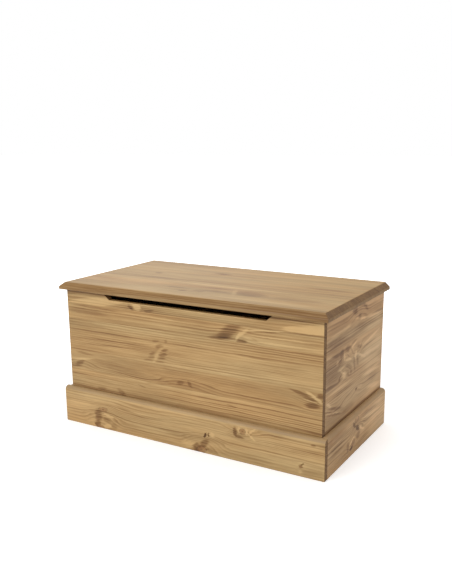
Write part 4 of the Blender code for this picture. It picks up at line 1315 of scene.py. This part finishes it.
class TRUNK_OT_lid_battens(TrunkOperator, bpy.types.Operator):
    """Model the two battens that keep the lid flat"""

    bl_idname = "trunk.lid_battens"
    bl_label = "Lid Battens"

    def execute(self, context):
        sizes = board_sizes()
        for name, side in SIDES:
            node = "lid_batten_" + name
            low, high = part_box(node)
            batten = block(name + "_lid_batten", low, high)

            def lower_end(a, b):
                return max(a.z, b.z) < low.z + sizes.arris and abs(a.x - b.x) > sizes.batten_bevel

            bevel_edges(batten, lower_end, sizes.batten_bevel, segments=1)
            soften(batten, sizes.arris)
            carve(batten, [shank_tool(f"stay_{name}_pivot", -side)] + screw_seats("batten", name))
            smooth(batten)
            dress(batten, batten_pine(BATTEN_ALONG_Y), node)
        return {"FINISHED"}


class TRUNK_OT_hinges(TrunkOperator, bpy.types.Operator):
    """Model the two butt hinges with knuckles that fit between each other"""

    bl_idname = "trunk.hinges"
    bl_label = "Hinges"

    def execute(self, context):
        shift = Matrix.Translation(middle_of("hinge_right_pin") - middle_of("hinge_left_pin"))
        pieces = {kind + "_leaf": self.make_leaf(kind, lift) for kind, lift in LEAVES}
        pieces["pin"] = self.make_pin()
        for part, piece in pieces.items():
            twin = copy_of(piece, "right_hinge_" + part, shift)
            dress(piece, plated("plated_brass"), "hinge_left_" + part)
            dress(twin, plated("plated_brass"), "hinge_right_" + part)
        return {"FINISHED"}

    def make_leaf(self, kind, lift):
        """A plate that is notched along the axis for the other leaf's knuckles, with its own joined on."""
        sizes, gap = metal_sizes(), board_sizes().clearance
        axis = middle_of("hinge_left_pin")
        low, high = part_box(f"hinge_left_{kind}_leaf")
        radius = high.y - axis.y
        bottom, top = sorted((axis.z + lift * gap / 2, axis.z + lift * (gap / 2 + sizes.leaf_thickness)))
        half = sizes.hinge_length / 2 - gap
        plate = (axis.x - half, low.y, bottom), (axis.x + half, axis.y, top)
        leaf = block(f"left_hinge_{kind}_leaf", *plate)

        def front_corner(a, b):
            return max(a.y, b.y) < low.y + gap and abs(a.z - b.z) > gap

        def along_axis(name, start, end, radius):
            return rod(name, (start, axis.y, axis.z), (end, axis.y, axis.z), radius, sides=LARGE_ROUND)

        bevel_edges(leaf, front_corner, sizes.leaf_corner, segments=4)
        pitch = sizes.hinge_length / sizes.knuckles
        start = axis.x - sizes.hinge_length / 2
        margin = 1.5 * gap
        notches, knuckles = [], []
        for index in range(sizes.knuckles):
            left, right = start + index * pitch, start + (index + 1) * pitch
            # The first knuckle is the fixed leaf's, the second the moving leaf's, and so on in turn
            if index % 2 == (lift > 0):
                knuckles.append(along_axis("knuckle", left + gap / 2, right - gap / 2, radius))
            else:
                notch_low = (left - margin, axis.y - radius - gap, bottom - margin)
                notches.append(block("notch", notch_low, (right + margin, axis.y + margin, top + margin)))
        carve(leaf, notches)
        carve(leaf, knuckles, "UNION")
        end = start + sizes.hinge_length
        carve(leaf, [along_axis("bore", start - gap, end + gap, sizes.hinge_pin + gap)])
        carve(leaf, screw_seats(kind, "left"))
        soften(leaf, sizes.metal_edge, segments=2, angle=40)
        return leaf

    def make_pin(self):
        low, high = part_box("hinge_left_pin")
        centre = (low + high) / 2
        ends = (low.x, centre.y, centre.z), (high.x, centre.y, centre.z)
        pin = rod("left_hinge_pin", *ends, metal_sizes().hinge_pin)
        soften(pin, metal_sizes().metal_edge)
        return pin


class TRUNK_OT_screws(TrunkOperator, bpy.types.Operator):
    """Model the countersunk screws of the hinges and of the lid battens"""

    bl_idname = "trunk.screws"
    bl_label = "Screws"

    def execute(self, context):
        for slot, holders in (("plated_brass", ("fixed", "moving")), ("bright_zinc", ("batten",))):
            sets = [screw_nodes(holder, name) for name, _ in SIDES for holder in holders]
            self.make_screws(sum(sets, []), slot)
        return {"FINISHED"}

    def make_screws(self, nodes, slot):
        """Models one screw at the origin, then sets a copy of it at every place, each turned further."""
        model = self.make_model(*screw_radii(nodes[0]), screw_stand(nodes[0])[2])
        for index, node in enumerate(nodes):
            direction, top, _ = screw_stand(node)
            twist = math.radians(NEXT_TWIST * index + FIRST_TWIST)
            name = node.replace("hinge_", "").replace("lid_batten_", "batten_") + "_fitted"
            screw = copy_of(model, name, pointing(top, (0, 0, -direction), twist))
            dress(screw, plated(slot), node)
        bpy.data.objects.remove(model, do_unlink=True)

    def make_model(self, shank, head, length):
        """A screw that points down from the origin: its head's cone, its threads and its point."""
        cone = head - shank
        edge = head / 14
        rings = [(head - edge, 0), (head, -edge), (shank, -cone - edge)]
        threads = int((length - cone - (POINT_LENGTH + 1) * shank) / (shank * THREAD_SPACING))
        pitch = (length - cone - edge - POINT_LENGTH * shank) / threads
        for turn in range(threads):
            top = -cone - edge - turn * pitch
            rings += [(shank * THREAD_ROOT, top - pitch * THREAD_SLOPE), (shank, top - pitch)]
        rings += [(shank * POINT_TIP, -length)]
        model = turned("screw_model", rings, sides=SMALL_ROUND)
        carve(model, cross_tools(SCREW_RECESS, head, head))
        smooth(model, angle=40)
        return model


class TRUNK_OT_stays(TrunkOperator, bpy.types.Operator):
    """Model the slotted lid stays with their pivots and guide pins"""

    bl_idname = "trunk.stays"
    bl_label = "Lid Stays"

    def execute(self, context):
        for name, side in SIDES:
            dress(self.make_arm(name), plated("rolled_zinc"), f"stay_{name}_arm")
            for part, facing_way in (("pivot", side), ("pin", -side)):
                screw = self.make_shoulder_screw(name, part, facing_way)
                dress(screw, plated("bright_zinc"), f"stay_{name}_{part}")
        return {"FINISHED"}

    def make_arm(self, name):
        """A flat bar with round ends, an eye for its pivot and a long slot for the guide pin."""
        sizes = metal_sizes()
        low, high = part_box(f"stay_{name}_arm")
        pivot, pin = middle_of(f"stay_{name}_pivot"), middle_of(f"stay_{name}_pin")
        pivot.x = pin.x = (low.x + high.x) / 2
        thickness, half_width = high.x - low.x, high.z - pivot.z
        way = (pin - pivot).normalized()
        reach = (high.y - pivot.y - half_width) / way.y
        closed, play = (pin - pivot).length, sizes.stay_play

        arm = self.flat_bar(f"{name}_stay_arm", 0, reach, half_width, thickness)
        slot = self.flat_bar("stay_slot", closed - play, reach + play, sizes.stay_eye, thickness * 3)
        eye = rod("stay_eye", (0, 0, -thickness), (0, 0, thickness), sizes.stay_eye)
        carve(arm, [slot, eye])
        soften(arm, sizes.metal_edge, segments=2, angle=40)
        turn = Matrix((way.cross((1, 0, 0)), way, (1, 0, 0))).transposed().to_4x4()
        return move(arm, Matrix.Translation(pivot) @ turn)

    def flat_bar(self, name, start, end, half_width, thickness):
        """A bar along Y that lies flat, with ends as round as it is wide."""
        low = (-half_width, start - half_width, -thickness / 2)
        bar = block(name, low, (half_width, end + half_width, thickness / 2))

        def upright(a, b):
            return abs(a.z - b.z) > thickness / 2

        bevel_edges(bar, upright, half_width * ROUND_END, segments=12)
        return bar

    def make_shoulder_screw(self, name, part, facing_way):
        """A shank in the wood, a collar that holds the arm off, a shoulder in the arm and a domed head."""
        sizes, gap = metal_sizes(), board_sizes().clearance
        low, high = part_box(f"stay_{name}_{part}")
        middle = (low + high) / 2
        near, far = sorted((abs(low.x), abs(high.x)), reverse=facing_way * middle.x < 0)
        total, head = abs(far - near), (high.z - low.z) / 2
        shank_end = Vector((near * math.copysign(1, middle.x), middle.y, middle.z))
        arm_faces = sorted(abs(face.x - shank_end.x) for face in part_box(f"stay_{name}_arm"))
        collar, shoulder = arm_faces[0] - gap, arm_faces[1] + gap
        wood, dome = sizes.stay_shank_length + gap, total - shoulder
        rings = [
            (sizes.stay_shank * BLUNT_TIP, 0),
            (sizes.stay_shank, sizes.stay_shank),
            (sizes.stay_shank, wood),
            (sizes.stay_collar, wood),
            (sizes.stay_collar, collar),
            (sizes.stay_shoulder, collar),
            (sizes.stay_shoulder, shoulder),
        ]
        rings += [(head * width, shoulder + dome * height) for width, height in DOME]
        screw = turned(f"{name}_stay_{part}_screw", rings, sides=DOMED_ROUND)
        tools = cross_tools(STAY_RECESS, head, dome)
        carve(screw, [move(tool, Matrix.Translation((0, 0, total))) for tool in tools])
        smooth(screw, angle=32)
        return move(screw, pointing(shank_end, (facing_way, 0, 0), STAY_TWIST))


class TRUNK_OT_cams(TrunkOperator, bpy.types.Operator):
    """Model the cams that draw the boards together"""

    bl_idname = "trunk.cams"
    bl_label = "Cams"

    def execute(self, context):
        _, span = middle_and_span("cam_back_left_lower")
        depth = span.y
        model = self.make_model(span.z / 2, depth)
        for name, side in SIDES:
            for level in LEVELS:
                for end, face in (("front", Vector((-side, 0, 0))), ("back", Vector((0, -1, 0)))):
                    corner = f"{end}_{name}_{level}"
                    place = pointing(middle_of("cam_" + corner) + face * depth / 2, face, CAM_TWIST * side)
                    cam = copy_of(model, corner + "_cam", place)
                    carve(cam, [bolt_tool("cam_bolt_" + corner)])
                    smooth(cam)
                    dress(cam, plated("bright_zinc"), "cam_" + corner)
                    bolt = frame["nodes"]["cam_bolt_" + corner]
                    bolt.data.materials.clear()
                    bolt.data.materials.append(plated("bright_zinc"))
        bpy.data.objects.remove(model, do_unlink=True)
        return {"FINISHED"}

    def make_model(self, radius, depth):
        """A cam with a raised rim and a cross recess, with its face at the origin."""
        rim = metal_sizes().cam_rim
        rings = [
            (radius - 2 * rim, -rim),
            (radius - 1.6 * rim, 0),
            (radius - rim / 2, 0),
            (radius, -rim / 2),
            (radius, -depth),
        ]
        model = turned("cam_model", rings, sides=LARGE_ROUND)
        carve(model, cross_tools(CAM_RECESS, radius, depth))
        return model


# In the order in which they stand above, which is the order in which they run
OPERATORS = tuple(TrunkOperator.__subclasses__())
SETTINGS = {
    "trunk_boards": TrunkBoardSizes,
    "trunk_metal": TrunkMetalSizes,
    "trunk_colours": TrunkColours,
    "trunk_studio": TrunkStudio,
}


class TRUNK_PT_tools(bpy.types.Panel):
    """Lists the trunk's operators and their settings in the sidebar"""

    bl_idname = "TRUNK_PT_tools"
    bl_label = "Storage Trunk"
    bl_space_type = "VIEW_3D"
    bl_region_type = "UI"
    bl_category = "Trunk"

    def draw(self, context):
        for name in SETTINGS:
            settings, box = getattr(context.scene, name), self.layout.box()
            box.label(text=name.replace("trunk_", "").title())
            for setting in settings.__annotations__:
                box.prop(settings, setting)
        for operator in OPERATORS:
            self.layout.operator(operator.bl_idname)


CLASSES = (*SETTINGS.values(), *OPERATORS, TRUNK_PT_tools)


def register():
    for kind in CLASSES:
        bpy.utils.register_class(kind)
    for name, kind in SETTINGS.items():
        setattr(bpy.types.Scene, name, PointerProperty(type=kind))


def unregister():
    for name in SETTINGS:
        delattr(bpy.types.Scene, name)
    for kind in reversed(CLASSES):
        bpy.utils.unregister_class(kind)


def main():
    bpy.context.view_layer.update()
    register()
    for operator in OPERATORS:
        getattr(bpy.ops.trunk, operator.bl_idname.removeprefix("trunk."))()


if __name__ == "__main__":
    main()
